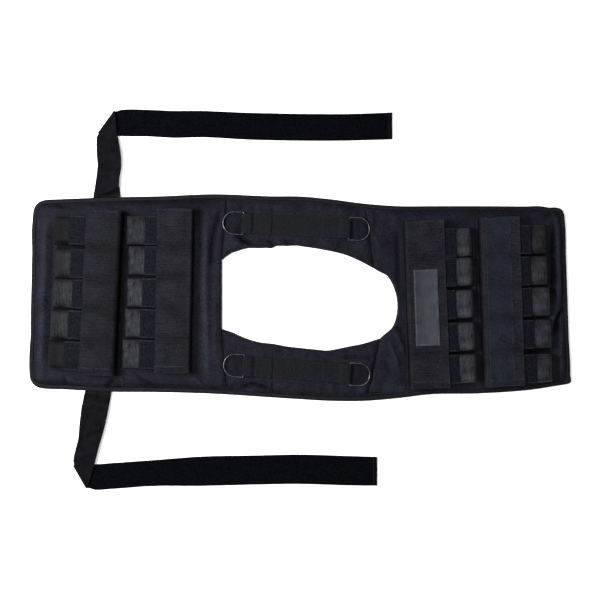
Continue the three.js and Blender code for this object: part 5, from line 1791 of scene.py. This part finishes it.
@dataclass
class Studio:
    """The pale floor, the soft light and the camera straight above."""

    camera_height: float = 1.8
    camera_x: float = 0.6 * MM
    camera_y: float = -1.4 * MM
    seen_width: float = 1.11
    seen_at: float = 5 * MM
    floor_size: float = 6.0
    key_power: float = 45.0
    key_place: tuple[float, float, float] = (-1.05, 0.12, 1.2)
    top_place: tuple[float, float, float] = (0.1, 0.1, 2.4)
    sky: float = 0.36

    def build(self) -> None:
        """Makes the floor, the lights and the camera."""
        self._floor()
        self._lights()
        self._camera()

    def _floor(self) -> None:
        """The surface that the vest lies on."""
        half = self.floor_size / 2
        mesh = bpy.data.meshes.new("floor")
        corners = [(-half, -half, 0), (half, -half, 0), (half, half, 0), (-half, half, 0)]
        mesh.from_pydata(corners, [], [(0, 1, 2, 3)])
        mesh.materials.append(WARDROBE.get(Fabric.FLOOR))
        floor = put("floor", mesh)
        floor.location.z = -0.3 * MM

    def _lights(self) -> None:
        """A soft lamp at the left, a softer one above, and an even pale sky."""
        for name, place, size, power in (
            ("key", self.key_place, 0.6, self.key_power),
            ("top", self.top_place, 1.3, self.key_power * 0.8),
        ):
            lamp = bpy.data.lights.new(name, "AREA")
            lamp.energy = power
            lamp.size = size
            holder = put(name, lamp)
            holder.location = place
            holder.rotation_euler = (-Vector(place)).to_track_quat("-Z", "Y").to_euler()
        world = bpy.data.worlds.new("sky")
        world.use_nodes = True
        back = world.node_tree.nodes["Background"]
        back.inputs["Color"].default_value = (1, 1, 1, 1)
        back.inputs["Strength"].default_value = self.sky
        bpy.context.scene.world = world
        bpy.context.scene.view_settings.view_transform = "Standard"

    def _camera(self) -> None:
        """The camera, looking straight down."""
        data = bpy.data.cameras.new("camera")
        data.angle = 2 * math.atan(self.seen_width / 2 / (self.camera_height - self.seen_at))
        data.clip_end = 50
        holder = put("camera", data)
        holder.location = (self.camera_x, self.camera_y, self.camera_height)
        bpy.context.scene.camera = holder


@dataclass
class SeamSewing:
    """The stitched lines on the cloth beside the seams between panels."""

    cloth: VestCloth
    inset: float = 2.4 * MM

    def build(self) -> None:
        """Sews beside each seam between two panels."""
        sewing = Stitcher()
        for loop in self.cloth.loops.values():
            border = along_line(closed(loop), 3 * MM)
            line = border + left_of(np.gradient(border, axis=0)) * self.inset
            keep = (gap_to(loop, line) > self.inset * 0.8) & inside(line, loop)
            keep &= gap_to(self.cloth.hem, border) > 6 * MM
            up = self.cloth.height(line, loop)
            for run in np.split(np.arange(len(line)), np.flatnonzero(~keep)):
                run = run[keep[run]]
                if len(run) > 4:
                    sewing.run(np.column_stack((line[run], up[run] + 0.1 * MM)))
        sewing.finish("seam_stitches", Fabric.DARK_THREAD)


def main() -> None:
    """Builds the vest, piece by piece, and the room round it."""
    logging.basicConfig(level=logging.INFO, format="%(name)s: %(message)s")
    Studio().build()
    cloth = VestCloth()
    for name in cloth.panels:
        cloth.build_panel(name)
    EdgeBinding(cloth).build()
    SeamSewing(cloth).build()
    rows = [
        PocketRow(
            "back_lower", 1.7, reach=2.6 * MM, turn=8 * MM, pocket_tones=(-0.8, -0.3, -0.15, -0.2, -0.72),
            patch_shifts=(0, 0, 8, 4, 1), flap_tone=0.48, foot_line=(-0.3, 14 * MM, 12 * MM),
            flap_ends=(5.5, -3.5), back=True,
        ),
        PocketRow(
            "back_upper", 4.3, reach=0.5 * MM, pocket_tones=(0.2, 0.5, 0.85, 0.65, 0.55),
            patch_shifts=(7, 3, 1, 1, 4), flap_tone=0.62, foot_line=(0.6, 4 * MM, 3 * MM), flap_ends=(5, -4),
        ),
        PocketRow(
            "front_lower", 6.9, reach=4 * MM, turn=7 * MM, pocket_tones=(0.0, 0.6, 0.9, 0.7, 0.5),
            patch_shifts=(-3, 1, 3.5, 2, -1), flap_tone=1.2, flap_ends=(8.5, 0), tape=(10 * MM, 56 * MM),
        ),
        PocketRow(
            "front_upper", 9.1, reach=3 * MM, turn=5 * MM, pocket_tones=(1.1, 1.3, 1.6, 1.4, 1.2),
            patch_shifts=(-1, 1.5, 3, 3, 3.5), flap_tone=0.9, flap_ends=(7, 0),
        ),
    ]
    for row in rows:
        row.build()
    LabelPatch(rows[-1]).build()
    for side in SIDES:
        ShoulderWeb(side).build()
        for panel in ("front", "back"):
            DRing(side, panel).build()
    left = belt_rows((-0.3574, 0.1936), 0.137, 0.529, 0.05, 1.0, LEFT_BELT_TABLE)
    right = belt_rows((-0.3724, -0.1769), 0.15, 0.516, 0.05, -1.0, RIGHT_BELT_TABLE)
    WaistBelt("left", left, cloth.outer, LEFT_BELT_FOLDS).build()
    WaistBelt("right", right, cloth.outer, RIGHT_BELT_FOLDS).build()


if __name__ == "__main__":
    main()
